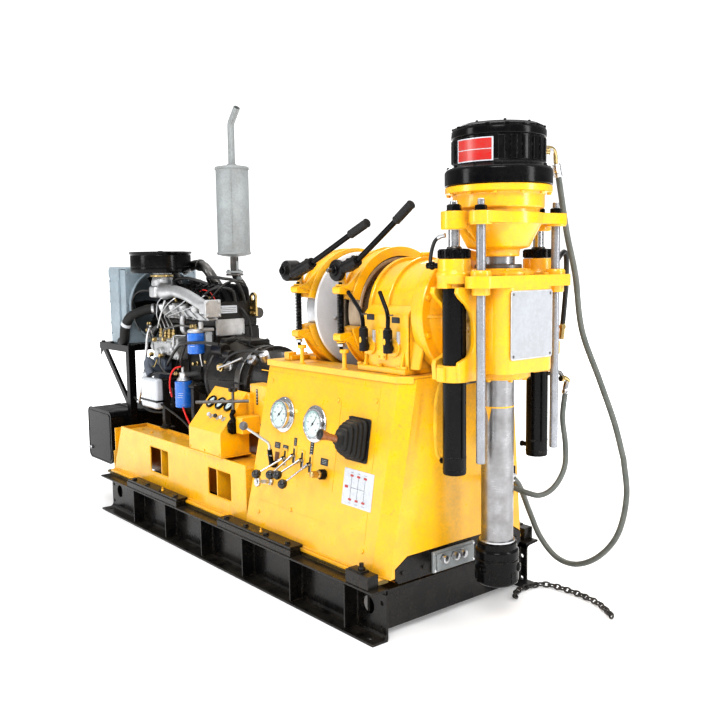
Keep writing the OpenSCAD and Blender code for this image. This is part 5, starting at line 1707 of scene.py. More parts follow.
# plenum below with its ribs
part.prism(points("""-780,-196,1180 -420,-204,1126 -372,-204,1112 -372,-204,1098
    -470,-200,1094 -760,-196,1150"""), (0, 60, 0), 6, 3)
for i in range(4):
    x = -740 + i * 92
    part.along_y([(x, 1172 - i * 14), (x + 12, 1170 - i * 14), (x + 74, 1112 - i * 3),
                  (x + 62, 1112 - i * 3)], -208, 14, 2)
# elbow up to the air cleaner
part.box(-1010, -930, -214, -176, 1204, 1270, 14, 4)
part.lathe("0,0 52,0 56,3 56,14 52,16 0,16", (-985, -138, 1300), UP, 48)
part.bolt_circle((-985, -138, 1316), UP, 46, 4, 7, start=30)
# brace
part.use("steel")
part.rod("-820,-212,1190 -880,-214,1096 -930,-205,1040", 6, 12)
# band clamp on the elbow
part.use("brass")
part.ring((-985, -138, 1319), (-985, -138, 1331), 60, 46, 56, 1.5)
part.box(-1052, -1038, -150, -134, 1317, 1333, 2)
part.cyl((-1045, -170, 1325), (-1045, -120, 1325), 4.5, 14, 1)
part.hexa((-1045, -172, 1325), NEAR, 12, 7)
part.use("cast_alu")
part.cyl((-985, -138, 1331), (-985, -138, 1342), 50, 48, 1)
part.done("carriage", "intake_manifold")

part = Part("air_filter", "black")
part.lathe("""0,1340 158,1340 165,1343 168,1348 168,1372 166.8,1374 168,1376 168,1436
    166.6,1439 168,1442 171,1446 173,1450 173,1456 170,1458.6 150,1459 60,1461
    0,1461""", (-1035, -120, 0), UP, 120)
part.lathe("0,1460 14,1460 14,1463 9,1465 0,1465", (-1035, -120, 0), UP, 28)
part.done("carriage", "air_cleaner")

# ---------------------------------------------------------------- exhaust
part = Part("exhaust", "iron")
part.tube("-942,172,1120 -930,172,1120 -492,172,1120 -480,172,1120", 30, 26, smooth=False)
for i in range(4):
    x = -890 + i * 120
    part.tube([(x, 128, 1118), (x, 148, 1118), (x, 172, 1120)], 23, 20)
    part.box(x - 40, x + 40, 124, 134, 1084, 1154, 5)
    part.bolts([(x - 31, 134, 1119), (x + 31, 134, 1119)], FAR, 8)
part.tube("""-568,172,1125 -568,158,1178 -568,136,1226 -568,126,1268 -568,96,1306
    -568,80,1350 -568,80,1420""", 22, 26)
# pipe arching over the head at the radiator end
part.use("dark_steel")
part.tube("""-1060,30,1352 -1021,60,1372 -970,66,1384 -913,62,1382 -862,62,1370
    -827,66,1348 -800,84,1300 -790,130,1220 -790,165,1130""", 28, 28)
part.ring((-916, 62, 1382), (-902, 62, 1380), 34, 27, 36, 1.5)
# flanged joint under the muffler
stack = vec(STACK_X, STACK_Y, 0)
part.ring(stack + UP * 1322, stack + UP * 1334, 46, 20, 40, 2)
part.use("muffler")
part.cyl(stack + UP * 1334, stack + UP * 1436, 21, 32, 1)
part.ring(stack + UP * 1336, stack + UP * 1348, 46, 20, 40, 2)
part.bolt_circle(stack + UP * 1348, UP, 36, 3, 8, start=20)
# stay from the stack to the valve cover
part.along_y("-545,1300 -500,1300 -500,1312 -530,1318 -540,1400 -550,1400", 76, 8)
part.lathe("""0,1424 30,1424 60,1428 84,1434 90,1436 92,1439 92,1446 88,1448 87,1450
    87,1600 86.4,1602 87,1604 87,1882 88,1884 92,1886 92,1893 90,1897 84,1899 40,1906
    22,1910 0,1910""", stack, UP, 96)
# seam down the muffler
part.prism([stack + vec(p) for p in points("70,-53.5,1450 73,-51,1450 73,-51,1882 70,-53.5,1882")],
           (2.2, -2.9, 0), 0.4)
# tail pipe, hollow, open at the tip
path = spline([vec(x, STACK_Y, z) for x, z in points(
    "-568,1900 -568,2060 -568,2110 -563,2130 -548,2148 -502,2200")], 9)
last, n = len(path) - 1, 24
verts, faces = [], []
for r in (18, 15.4):
    for i, place in enumerate(path):
        across = (path[min(i + 1, last)] - path[max(i - 1, 0)]).normalized().cross(FAR)
        for j in range(n):
            turn = 2 * pi * j / n
            verts.append(place + FAR * cos(turn) * r + across * sin(turn) * r)
inside = len(path) * n
for i in range(last):
    a, b = i * n, (i + 1) * n
    for j in range(n):
        k = (j + 1) % n
        faces.append((a + j, a + k, b + k, b + j))
        faces.append((inside + b + j, inside + b + k, inside + a + k, inside + a + j))
for a in (0, last * n):
    for j in range(n):
        k = (j + 1) % n
        faces.append((a + j, a + k, inside + a + k, inside + a + j))
part.add(verts, faces)
part.lathe("18.2,0 24,0 26,3 24,8 18.2,10", (STACK_X, STACK_Y, 1906), UP, 32)
part.done("carriage", "exhaust_pipe")

# ---------------------------------------------------------------- injection pump group
part = Part("pump", "cast_alu")
part.box(-980, -762, -206, -142, 892, 984, 8, 3)
part.box(-968, -774, -214, -200, 906, 968, 4)
part.lathe("0,0 44,0 48,4 48,60 42,68 0,70", (-762, -176, 934), FORE, 40)
part.box(-760, -696, -214, -142, 874, 998, 12, 4)
part.bolts([(x, -214, z) for z in (884, 988) for x in (-748, -708)], NEAR, 6)
part.bolts([(-955 + i * 34, -214, z) for i in range(6) for z in (912, 962)], NEAR, 5)
part.lathe("0,0 34,0 36,2 36,24 30,27 0,27", (-1007, -180, 935), FORE, 36)
# feed pump and governor lever
part.lathe("0,0 28,0 30,2 30,26 24,30 24,44 0,46", (-870, -206, 905), NEAR, 32)
part.use("steel")
part.along_y("-735,930 -720,926 -700,1006 -712,1010", -226, 6)
part.cyl((-727, -214, 936), (-727, -234, 936), 9, 18, 1.5)
part.rod("-706,-230,1002 -660,-236,1012 -560,-232,1016", 3.5, 10)
part.use("brass")
for x in (-950, -900, -850, -800):
    part.lathe("0,983 13,983 13,1000 10,1003 10,1020 8,1034 0,1034", (x, -175, 0), UP, 22)
    part.hexa((x, -175, 1006), UP, 25, 12)
    part.hexa((x, -175, 1024), UP, 19, 10)
for x, y, z in points("-920,-220,975 -850,-222,890 -800,-222,984 -960,-222,890"):
    part.hexa((x, y, z), (-0.2, -1, 0.1), 20, 9)
    part.lathe("0,0 12,0 13,3 12,14 0,14", (x, y - 6, z), (0, -1, 0), 22)
    part.hexa((x, y - 18, z), (0, -1, 0), 17, 7)
# thin bent pipes
part.use("dark_steel")
part.rod("-920,-236,975 -930,-246,1030 -990,-236,1060 -1040,-214,1040 -1046,-190,960",
         5, 10, bend=26)
part.rod("-850,-240,890 -840,-248,840 -760,-250,800 -640,-252,812", 5, 10, bend=30)
part.rod("-800,-240,984 -770,-252,1040 -600,-250,1070 -470,-240,1068", 5, 10, bend=34)
part.use("brass")
part.rod("-960,-240,890 -966,-250,850 -900,-252,820 -860,-250,870", 4, 9, bend=22)
for place in points("-990,-226,1060 -1040,-210,1020 -640,-252,812 -470,-240,1068"):
    part.ball(place, 11, 16)
    part.hexa(place, (0, -1, 0.1), 17, 14)
# white bottle on its strap
part.use("white")
part.box(-996, -806, -292, -244, 600, 768, 16, 4)
part.lathe("0,0 18,0 18,8 20,9 20,22 17,24 0,24", (-962, -270, 769), UP, 28)
part.use("black")
part.box(-1000, -802, -295.5, -240, 640, 650, 2)
part.use("slate")
part.tube("-930,-200,800 -936,-232,822 -950,-262,860 -946,-262,812 -920,-262,780", 22, 18)
part.box(-1016, -880, -200, -150, 800, 868, 10, 4)
part.box(-990, -912, -214, -142, 742, 800, 6)
# bright tube running down towards the radiator end
part.use("steel")
part.tube("""-950,-236,1052 -968,-250,1000 -990,-252,900 -1024,-252,796 -1052,-258,700
    -1092,-258,612""", 7.5, 14)
part.hexa((-1092, -258, 620), (-0.4, 0, -0.9), 22, 14)
part.done("carriage", "injection_pump")

# x, bottom z, top z, radius of the two filter cans, at y = -230
FILTERS = ((-457, 930, 1036, 44), (-606, 635, 774, 46))
part = Part("filters", "blue")
for x, z0, z1, r in FILTERS:
    part.lathe([(0, z0 - 1), (r - 16, z0 - 1), (r - 12, z0 + 3), (r - 5, z0), (r - 1, z0 + 3),
                (r, z0 + 8), (r, z0 + 14), (r - 1.2, z0 + 16), (r, z0 + 18), (r, z1 - 6),
                (r - 3, z1), (0, z1)], (x, -230, 0), UP, 64)
# three printed stripes on each can
part.use("white")
for x, z0, z1, r in FILTERS:
    for i in range(3):
        low = (z0 + z1) / 2 - 14 + i * 11
        verts = []
        for j in range(11):
            turn = radians(-72 + 34 * j / 10 + i * 3)
            for radius, z in ((r - 0.6, low), (r + 0.5, low), (r + 0.5, low + 2),
                              (r - 0.6, low + 2)):
                verts.append((x + radius * cos(turn), -230 + radius * sin(turn), z))
        part.skin(verts, 4)
part.use("cast_alu")
part.lathe("0,1036 38,1036 42,1039 42,1048 36,1054 24,1058 0,1058", (-457, -230, 0), UP, 44)
part.box(-490, -424, -236, -138, 1040, 1060, 6)
part.lathe("0,0 12,0 13,2 13,34 8,38 0,38", (-430, -214, 1056), UP, 24)
part.lathe("0,774 34,774 36,778 34,784 22,800 20,820 0,820", (-606, -230, 0), UP, 40)
part.box(-632, -580, -236, -138, 796, 816, 5)
part.lathe("0,816 9,816 9,846 6,850 0,850", (-606, -230, 0), UP, 20)
part.use("brass")
for place in points("-486,-212,1064 -440,-236,1050 -630,-232,806"):
    part.hexa(place, (0, -0.6, 0.8), 18, 12)
part.use("hose")
part.tube("""-280,-200,985 -340,-238,992 -403,-252,990 -470,-286,985 -532,-284,972
    -610,-262,946 -670,-250,916 -740,-240,868 -790,-226,840""", 8, 14)
part.tube("-606,-232,845 -596,-246,872 -560,-262,900 -520,-262,960 -470,-250,1050", 6, 12)
part.tube("""-740,-250,800 -840,-262,800 -920,-264,770 -952,-262,706 -900,-262,656
    -775,-262,622 -640,-262,590 -540,-262,560 -470,-262,520""", 5.5, 12)
part.use("red_wire")
part.tube("-600,-244,852 -630,-266,840 -660,-276,800 -664,-280,740 -640,-282,690", 5, 12)
part.tube("-560,-262,640 -530,-262,600 -500,-262,570 -460,-262,530", 5, 12)
part.done("carriage", "oil_filters")

# ---------------------------------------------------------------- radiator
part = Part("radiator_unit", "grey_blue")
# side tanks and the rounded top tank
part.box(-1478, -1342, -238, -214, 927, 1340, 4)
part.box(-1478, -1342, 214, 238, 927, 1340, 4)
part.along_y([(-1480, 1316), (-1340, 1316), (-1338, 1340), (-1342, 1366),
              *arc(-1370, 1350, 28, 20, 90, 5), *arc(-1452, 1348, 30, 90, 170, 6)],
             -240.5, 481, 6, 3)
part.box(-1478, -1342, -236, 236, 927, 966, 8, 3)
for i in range(6):
    for x in (-1468, -1352):
        part.bolt((x, -238, 985 + i * 62), NEAR, 6)
        part.bolt((x, 238, 985 + i * 62), FAR, 6)
part.plate(rounded(-1474, -1346, 1020, 1290, 6), on_y(-237, -1), 3.4, 0.6)
part.lathe("213.5,-1340 216,-1340 216,-1274 213.5,-1274", (0, 0, FAN_Z), FORE, 80)
# core: fins, then level and upright bars on its outer face
part.box(-1438, -1398, -213, 213, 964, 1318, 0)
for i in range(64):
    z = 968 + i * 5.45
    part.box(-1446, -1390, -212, 212, z, z + 1.3, 0)
for i in range(14):
    z = 976 + i * 25
    part.box(-1453, -1447, -214, 214, z, z + 4.5, 0.8, 1)
for y in (-120, 0, 120):
    part.box(-1456, -1450, y - 4, y + 4, 962, 1320, 0.8, 1)
# shroud: box with a round opening, rolled into a ring
part.plate(rounded(-231, 231, 931, 1369, 22), on_x(-1276), 5, 1.5,
           [circle(0, FAN_Z, 212.5, 72)])
for side in SIDES:
    part.box(-1342, -1273, side * 226, side * 232, 940, 1360, 1.5)
part.box(-1342, -1273, -222, 222, 1363, 1369.5, 1.5)
part.box(-1342, -1273, -222, 222, 931, 937, 1.5)
part.lathe("""212,-1276 216,-1276 216,-1240 219,-1239 220,-1236.5 218,-1235
    212,-1235""", (0, 0, FAN_Z), FORE, 110)
part.bolts([(-1271, y, z) for y in (-218, 218) for z in (960, 1340)]
           + [(-1271, y, 1150) for y in (-224, 224)], FORE, 7)
# filler and its overflow pipe
part.use("brass")
part.lathe("0,1372 28,1372 30,1375 30,1390 36,1393 36,1404 30,1409 0,1410",
           (-1400, 60, 0), UP, 40)
part.box(-1440, -1360, 52, 68, 1398, 1406, 2)
part.use("steel")
part.tube("""-1400,94,1386 -1404,130,1384 -1420,200,1360 -1430,244,1300 -1430,248,1100
    -1430,248,960""", 4, 10)
# top hose to the thermostat, lower hose with its clamps
part.use("rubber")
part.tube("""-1345,40,1352 -1300,40,1372 -1240,38,1378 -1160,34,1330 -1100,30,1240
    -1040,30,1204""", 24, 24)
part.tube("""-1060,-120,1138 -1110,-170,1134 -1178,-236,1100 -1230,-248,1060
    -1262,-250,1010 -1280,-248,950 -1330,-240,940""", 28, 26)
part.use("white")
part.weld((-1234, -248, 1056), (-1246, -250, 1040), 31, 26)
part.use("steel")
part.weld((-1082, -142, 1138), (-1092, -152, 1137), 30, 24)
part.use("hose")
part.tube("""-1030,-176,1240 -1120,-214,1238 -1176,-232,1196 -1180,-236,1130
    -1150,-232,1060 -1120,-220,1010""", 5.5, 12)
part.done("carriage", "radiator")


def angle_iron(part, start, end, leg1, leg2, width=40):
    """Angle section from start to end, its two legs along leg1 and leg2."""
    start, end, leg1, leg2 = vec(start), vec(end), vec(leg1), vec(leg2)
    thick = 5
    part.prism([start, start + leg1 * width, start + leg1 * width + leg2 * thick,
                start + leg1 * thick + leg2 * thick, start + leg1 * thick + leg2 * width,
                start + leg2 * width], end - start, 1.2)


part = Part("radiator_stand", "black")
for side in SIDES:
    y = side * 265
    inward = (0, -side, 0)
    angle_iron(part, (-1600, y, 925), (-1190, y, 925), inward, DOWN)
    angle_iron(part, (-1188.5, y + side * 1.3, 923.4), (-1188.5, y + side * 1.3, 302), inward,
               AFT, 42)
    run = vec(370, 0, -360).normalized()
    angle_iron(part, (-1592, y - side * 2, 912), (-1216, y - side * 2, 546), inward,
               (-run.z, 0, run.x), 34)
    part.along_y("-1600,922 -1520,922 -1600,846", y - side * 5, -side * 6, 1)
    part.along_y("-1190,600 -1190,500 -1250,560", y - side * 5, -side * 6, 1)
    part.bolts([(x, side * 245, 925) for x in (-1580, -1460, -1340, -1220)], UP, 10)
angle_iron(part, (-1598.7, -228, 923.6), (-1598.7, 228, 923.6), FORE, DOWN, 38)
angle_iron(part, (-1265, -228, 923.6), (-1265, 228, 923.6), AFT, DOWN, 38)
part.done("carriage", "radiator_bracket")

# ---------------------------------------------------------------- tank
part = Part("tank", "black")
part.along_y(rounded(-1561, -1236, 239, 541, 34, 7), -370, 598, 2)
for y in (-372, 222):
    part.plate(rounded(-1565, -1232, 235, 545, 36, 7), on_y(y), 8, 2,
               [rounded(-1557, -1240, 243, 537, 30, 7)])
part.plate(rounded(-1546, -1251, 254, 526, 24, 7), on_y(-373), 4, 1.5)
for y in (-210, 60):
    part.along_y(rounded(-1564, -1233, 236, 544, 36, 7), y, 30, 1)
part.lathe("0,540 30,540 30,552 36,554 36,572 32,576 0,577", (-1420, 120, 0), UP, 40)
part.box(-1452, -1388, 112, 128, 572, 582, 3)
part.use("steel")
part.cyl((-1520, -372, 300), (-1520, -392, 300), 6, 16, 1.2)
part.hexa((-1520, -376, 300), NEAR, 20, 8)
part.use("hose")
part.tube("""-1300,-200,545 -1296,-220,600 -1240,-240,640 -1140,-236,600 -1040,-220,560
    -900,-180,560""", 7, 12)
part.done("carriage", "fuel_tank")

# ---------------------------------------------------------------- fan, pulleys and belt
part = Part("fan", "black")
part.lathe("""0,-1250 20,-1250 22,-1247 22,-1242 52,-1240 56,-1236 56,-1208 52,-1206
    20,-1204 18,-1200 18,-1144 56,-1143 60,-1141 60,-1137 52,-1132 52,-1128 60,-1123
    60,-1118 56,-1116 18,-1115 18,-1062 0,-1062""", (0, 0, FAN_Z), FORE, 60)
# share of the half chord and rise off it, across a blade
BLADE_ARCH = ((-1, 0), (-0.4, 3), (0.4, 3), (1, 0))
for out, along in spokes(FORE, 6):
    verts = []
    for j in range(7):
        half_chord = 26 + 12 * sin(pi * min(1, j / 5))
        pitch = radians(42 - 14 * j / 6)
        chord = along * cos(pitch) + FORE * sin(pitch)
        normal = FORE * cos(pitch) - along * sin(pitch)
        middle = vec(-1225, 0, FAN_Z) + out * (50 + (197 - 50) * j / 6)
        for share, rise in BLADE_ARCH:
            verts.append(middle + chord * half_chord * share + normal * (rise + 1.4))
        for share, rise in reversed(BLADE_ARCH):
            verts.append(middle + chord * half_chord * share + normal * (rise - 1.4))
    part.skin(verts, 8)
    part.use("steel")
    for r in (39.6, 50.4):
        part.bolt(vec(-1219, 0, FAN_Z) + out * r, FORE, 5)
    part.use("black")
part.done("fan", "cooling_fan")

part = Part("belt", "rubber")
outer = arc(0, FAN_Z, 68, 0, 180, 18) + arc(0, CRANK_Z, 84, 180, 360, 18)
inner = arc(0, FAN_Z, 60.6, 0, 180, 18) + arc(0, CRANK_Z, 75.6, 180, 360, 18)
n = len(outer)
verts, faces = [], []
for outer_x, inner_x in ((-1142, -1139), (-1118, -1121)):
    verts += [(outer_x, y, z) for y, z in outer] + [(inner_x, y, z) for y, z in inner]
for i in range(n):
    j = (i + 1) % n
    faces += [(i, j, n + j, n + i), (2 * n + j, 2 * n + i, 3 * n + i, 3 * n + j),
              (j, i, 2 * n + i, 2 * n + j), (n + i, n + j, 3 * n + j, 3 * n + i)]
part.add(verts, faces)
part.done("carriage", "fan_belt")

part = Part("crank_pulley", "dark_steel")
part.lathe("""0,-1150 28,-1150 30,-1148 30,-1145 70,-1144 75,-1142 75,-1140 68,-1136
    68,-1124 75,-1120 75,-1118 70,-1116 30,-1115 30,-186 172,-185 176,-182 176,-143
    172,-140 30,-139 0,-139""", (0, 0, CRANK_Z), FORE, 72)
part.hexa((-1150, 0, CRANK_Z), AFT, 34, 12)
for out, _ in spokes(FORE, 6):
    part.lathe("0,0 9,0 9,2 0,2", vec(-1144.2, 0, CRANK_Z) + out * 48, AFT, 18)
part.done("crank", "crankshaft")

# ---------------------------------------------------------------- control panel
# strokes of a numeral: x0, x1, y0, y1; the first two are its uprights
STROKES = ((-1.4, -1.4, -2.6, 2.6), (1.4, 1.4, -2.6, 2.6), (-1.4, 1.4, 2.6, 2.6),
           (-1.4, 1.4, -2.6, -2.6))


def gauge(part, x, z, depth, needle):
    """Round dial gauge; the scale runs clockwise from 225 degrees over 270."""
    face = panel_face(x, z)
    base = face(0, 0, 0)
    part.use("chrome")
    part.lathe([*points("56,0.2 74,0.2 76,1.4 76,3.4 74,4.8 62,5.6 60,7"), (60, depth - 5),
                (62, depth - 4), (62.5, depth - 1), (60, depth + 1), (55, depth + 1),
                (54, depth - 0.5), (53, depth - 3), (53, 2)], base, PANEL_OUT, 90)
    for i in range(3):
        turn = radians(120 * i + 90)
        part.bolt(face(68.5 * cos(turn), 68.5 * sin(turn), 5), PANEL_OUT, 4, washer=False)
    part.use("dial")
    top = depth - 4.2
    part.lathe([(0, depth - 8), (53.6, depth - 8), (53.6, top), (0, top)], base, PANEL_OUT, 64)
    part.use("ink")
    for i in range(51):
        inner, half = (41, 0.75) if i % 5 == 0 else (44.5, 0.35)
        part.radial(face, radians(225 - 270 * i / 50),
                    [(inner, -half), (48, -half), (48, half), (inner, half)], top,
                    PANEL_OUT * 0.45)
    # numerals as blocks of strokes: one digit at the start of the scale, two elsewhere
    for i in range(6):
        turn = radians(225 - 54 * i)
        x, y = 33 * cos(turn), 33 * sin(turn)
        digits = [(x - 2.6, STROKES[:2]), (x + 2.6, STROKES)] if i else [(x, STROKES)]
        for left, strokes in digits:
            for x0, x1, y0, y1 in strokes:
                part.tile(face, left + x0 - 0.35, left + x1 + 0.35, y + y0 - 0.35,
                          y + y1 + 0.35, top, 0.4)
    part.use("teal")
    verts = []
    for c, s in arc(0, 0, 1, 225, -45, 40):
        for r, height in ((49.2, 0), (50.6, 0), (50.6, 0.4), (49.2, 0.4)):
            verts.append(face(r * c, r * s, top + height))
    part.skin(verts, 4)
    part.use("ink")
    part.radial(face, radians(needle), "-14,-1.8 0,-1.6 43,-0.3 43,0.3 0,1.6 -14,1.8",
                top + 1, PANEL_OUT * 0.8)
    part.lathe([(0, top), (5, top), (5, top + 2.4), (3.6, top + 3.2), (0, top + 3.2)],
               base, PANEL_OUT, 24)


part = Part("gauges")
gauge(part, 444, 737, depth=31, needle=48)
gauge(part, 668, 726, depth=18, needle=52)
part.done("carriage", "pressure_gauges")

# white plate with a line diagram
part = Part("plates", "white")
face = panel_face(976, 519)
part.plate(rounded(-88, 88, -71, 71, 3), face, 1.6, 0.4)
part.use("ink")
for x in (-40, 0, 40):
    part.line(face, x, -52, x, 52)
part.line(face, -40, 0, 40, 0)
part.line(face, -70, 0, -56, 0)
for x in (-40, 0, 40):
    for y in (-60, 58):
        part.line(face, x - 8, y, x + 8, y, 0.5)
part.use("red")
for x in (-40, 0, 40):
    for y in (-46, 46):
        part.tile(face, x - 9, x + 9, y - 4, y + 4, 1.7, 0.6)
part.tile(face, -76, -58, -5, 5, 1.7, 0.6)
part.use("steel")
for x in (-81, 81):
    for y in (-64, 64):
        part.lathe("0,0 2.6,0 2.6,1.8 1.6,2.8 0,3", face(x, y, 0), PANEL_OUT, 14)
# black tags: panel x, z, half width, half height
for x, z, wide, high in ((420, 603, 20, 13), (481, 600, 20, 12), (547, 626, 10, 27),
                         (664, 624, 12, 32), (755, 586, 24, 14)):
    face = panel_face(x, z)
    part.use("plastic")
    part.plate(rounded(-wide, wide, -high, high, 2), face, 1.4, 0.4)
    part.use("white")
    if wide > high:
        for i in (-1, 0, 1):
            y = i * high * 0.45
            part.line(face, -wide * 0.6, y, wide * 0.6, y, 0.5, 1.3)
    else:
        for i in range(-2, 3):
            y = i * high * 0.32
            part.line(face, -wide * 0.45, y, wide * 0.45, y, 1.0, 1.3)
# slot frames of the ball levers
for (x, z), _ in VALVES:
    face = panel_face(x, z)
    opening = rounded(-7, 7, -32, 32, 6)
    part.use("yellow")
    part.plate(rounded(-17, 17, -42, 42, 4), face, 2.4, 0.8, [opening])
    part.use("ink")
    part.plate(opening, face, 0.8)
    part.use("steel")
    for y in (-37, 37):
        part.lathe("0,0 3,0 3,3.2 2,4.2 0,4.4", face(0, y, 0), PANEL_OUT, 14)
    part.use("cast_alu")
    part.plate(rounded(9, 15, -30, 6, 1),
               lambda across, up, out: face(across, up, out + 2.2), 1.2, 0.3)
# brown label by the clutch lever
part.use("brown")
part.plate(rounded(-15, 15, -30, 30, 2), panel_face(424, 545), 1.4, 0.4)
# studs and raised strips on the panel
part.use("yellow")
for x, z in ((802, 837), (563, 356), (330, 870), (1030, 860), (330, 300), (1040, 300)):
    part.lathe("0,0 9,0 9,3 7,5 0,5.4", panel(x, z), PANEL_OUT, 20)
for x, z, wide, high in ((640, 910, 404, 2.2), (550, 352, 250, 1.6), (822, 660, 1.6, 185),
                         (1046, 620, 2, 296)):
    part.plate([(-wide, -high), (wide, -high), (wide, high), (-wide, high)],
               panel_face(x, z), 1.2, 0.5)
part.done("carriage", "panel_plates")

# ---------------------------------------------------------------- feed lever and its boot
FEED = (950, 704)  # panel x, z
# height off the panel, half width, half length of the pleats
PLEATS = points("""5,55,74 11,59,79 18,59,79 24,52,71 30,56,75 37,55,73 43,47,64 49,51,67
    56,50,65 61,41,55 67,44,57 74,43,55 79,33,43 85,35,44 91,33,41 95,24,30 101,24,28
    108,20,22 114,18,18""")
BOOT_STEPS = 48
face = panel_face(*FEED)


def metres(point):
    return tuple(v * 0.001 for v in point)


def pleat(height, wide, long, drop=0):
    """Squarish ring that grows rounder with height."""
    power = 2 / (5.5 - 3.2 * (height / 114) ** 1.5)
    ring = []
    for i in range(BOOT_STEPS):
        turn = 2 * pi * i / BOOT_STEPS
        c, s = cos(turn), sin(turn)
        ring.append(face(wide * copysign(abs(c) ** power, c),
                         long * copysign(abs(s) ** power, s) - height * 0.02, height - drop))
    return ring


part = Part("boot", "rubber")
part.plate(rounded(-65, 65, -85, 85, 12), face, 5.4, 1.6, [rounded(-46, 46, -62, 62, 12)])
verts = []
for height, wide, long in PLEATS:
    verts += pleat(height, wide, long)
# back down the inside, closing on the lever at the top
for height, wide, long in reversed(PLEATS):
    if height > 106:
        verts += pleat(height, 7.5, 7.5)
    else:
        verts += pleat(height, max(wide - 3, 7.5), max(long - 3, 7.5), 0.8)
part.skin(verts, BOOT_STEPS, closed=True)
boot = part.done(None, "lever_boot", smooth=radians(60))
metres(face(0, 0, 22))
metres(face(0, 0, 104))
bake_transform(boot)

part = Part("boot_fixings", "plastic")
for x in (-60.5, 60.5):
    for y in (-80, 0, 80):
        part.lathe("0,0 4,0 4,2 2.6,3.2 0,3.4", face(x, y, 4.8), PANEL_OUT, 16)
part.done("carriage")

part = Part("feed_handle_v", "steel")
pivot = panel(*FEED, 12)
part.cyl(pivot, panel(*FEED, 112), 6, 24, 1)
part.cyl(pivot - FORE * 12, pivot + FORE * 12, 9, 24, 1)
part.use("wood")
start = panel(*FEED, 106)
run = vec(933, -490, 746) - start
length = run.length
# grip stations: radius, share of the length
GRIP = ((14.5, 0.14), (13.2, 0.28), (13.6, 0.48), (17.5, 0.72), (20.5, 0.88), (20, 0.94),
        (0, 0.94))
KNOB = ((0, 0.93), (20.6, 0.93), (21.4, 0.95), (20.5, 1.02), (16, 1.07), (9, 1.09), (0, 1.09))
part.lathe([(0, 0), (12, 0), (14.5, 2)] + [(r, length * share) for r, share in GRIP],
           start, run, 48)
part.use("brass")
part.lathe("0,-4 12,-4 13.4,-2.5 13.4,6 12.4,7 0,7", start, run, 36)
part.use("plastic")
part.lathe([(r, length * share) for r, share in KNOB], start, run, 40)
part.done("feed_handle", "feed_lever")

# ---------------------------------------------------------------- small panel controls
for i, ((x, z), tip) in enumerate(VALVES, 1):
    part = Part(f"valve_{i}_lever", "chrome")
    pivot, tip = panel(x, z, 9), vec(tip)
    run = (tip - pivot).normalized()
    part.cyl(pivot + run * 6, tip - run * 12, 4.6, 22, 0.8)
    part.cyl(pivot + run * 4, pivot + run * 24, 7, 24, 1.2)
    part.use("steel")
    part.cyl(pivot - FORE * 11, pivot + FORE * 11, 5, 20, 0.8)
    part.use("black")
    part.ball(pivot, 8.6, 20)
    part.use("ball")
    part.ball(tip, 19.5, 40)
    part.lathe("0,-20 7,-20 8,-18 8,-12 0,-12", tip, run, 20)
    part.done(f"valve_{i}", f"valve_lever_{i}")

part = Part("regulator_v", "steel")
face = panel_face(404, 444)
base = face(0, 0, 0)
part.lathe("0,0.4 16,0.4 17,1.5 17,12 15,14 0,14", base, PANEL_OUT, 6)
part.lathe("0,12 9,12 9,34 7.6,35 7.6,66 0,66", base, PANEL_OUT, 28)
for i in range(14):
    low = i * 1.9
    part.lathe([(7.4, 38 + low), (8.3, 38.9 + low), (7.4, 39.8 + low)], base, PANEL_OUT, 20)
part.plate(scalloped(20.6, 1.6, 8, 80), lambda across, up, out: face(across, up, 66 + out),
           13, 2)
part.lathe("0,78 9,78 10,79 10,82 8,83.5 0,83.5", base, PANEL_OUT, 28)
part.done("regulator", "regulator_wheel")

part = Part("relief_v", "black")
face = panel_face(762, 538)
part.plate(scalloped(20, 1.1, 16, 96), lambda across, up, out: face(across, up, 0.4 + out),
           25, 1.6)
part.use("brass")
part.lathe("0,24 15,24 16,25 16,34 13.4,36 13,38 13,62 12,66 9,68 0,68",
           face(0, 0, 0), PANEL_OUT, 40)
for i in range(24):
    part.radial(face, radians(15 * i), "12.6,0.7 13.7,0 12.6,-0.7", 40, PANEL_OUT * 20)
part.done("relief", "relief_knob")

part = Part("clutch_v", "black")
part.lathe("0,0.4 14,0.4 15,1.4 15,10 12.5,12 12.5,24 10,26 0,26", panel(416, 520),
           PANEL_OUT, 36)
low, high = panel(416, 516, 18), vec(426, -379, 592)
part.cyl(low, high, 10.4, 32, 1.6)
part.hexa(panel(416, 512, 14), high - low, 24, 14)
part.use("steel")
part.cyl((408, -379, 566), (440, -379, 566), 3.2, 12, 0.6)
part.rod("426,-379,586 432,-382,618 367,-469,697", 6, 24, bend=16)
part.use("ball_grey")
part.ball((367, -469, 697), 19, 44)
part.done("clutch_handle", "clutch_lever")

# ---------------------------------------------------------------- console
# its sloping face: 152 mm in and 178 mm up from the near edge
SLOPE_OUT = vec(0, -178 / 234.07, 152 / 234.07)
SLOPE_UP = vec(0, 152 / 234.07, 178 / 234.07)


def slope(x, up):
    return vec(x, -392, 604) + SLOPE_UP * up


part = Part("console", "yellow")
part.along_x("-392,487.2 -392,604 -240,782 -236,783 -236,487.2", -262, 300, 4, 3)
part.box(20, 64, -244, -219, 642, 779, 3)
part.box(36, 232, -225, -150, 640, 822, 5, 3)
part.box(61, 118, -322, -222, 602, 680, 4, 3)
part.box(-268, 44, -398, -230, 486.4, 494, 2)
part.bolts([(x, -392, 505) for x in (-250, -112, 26)], NEAR, 5)
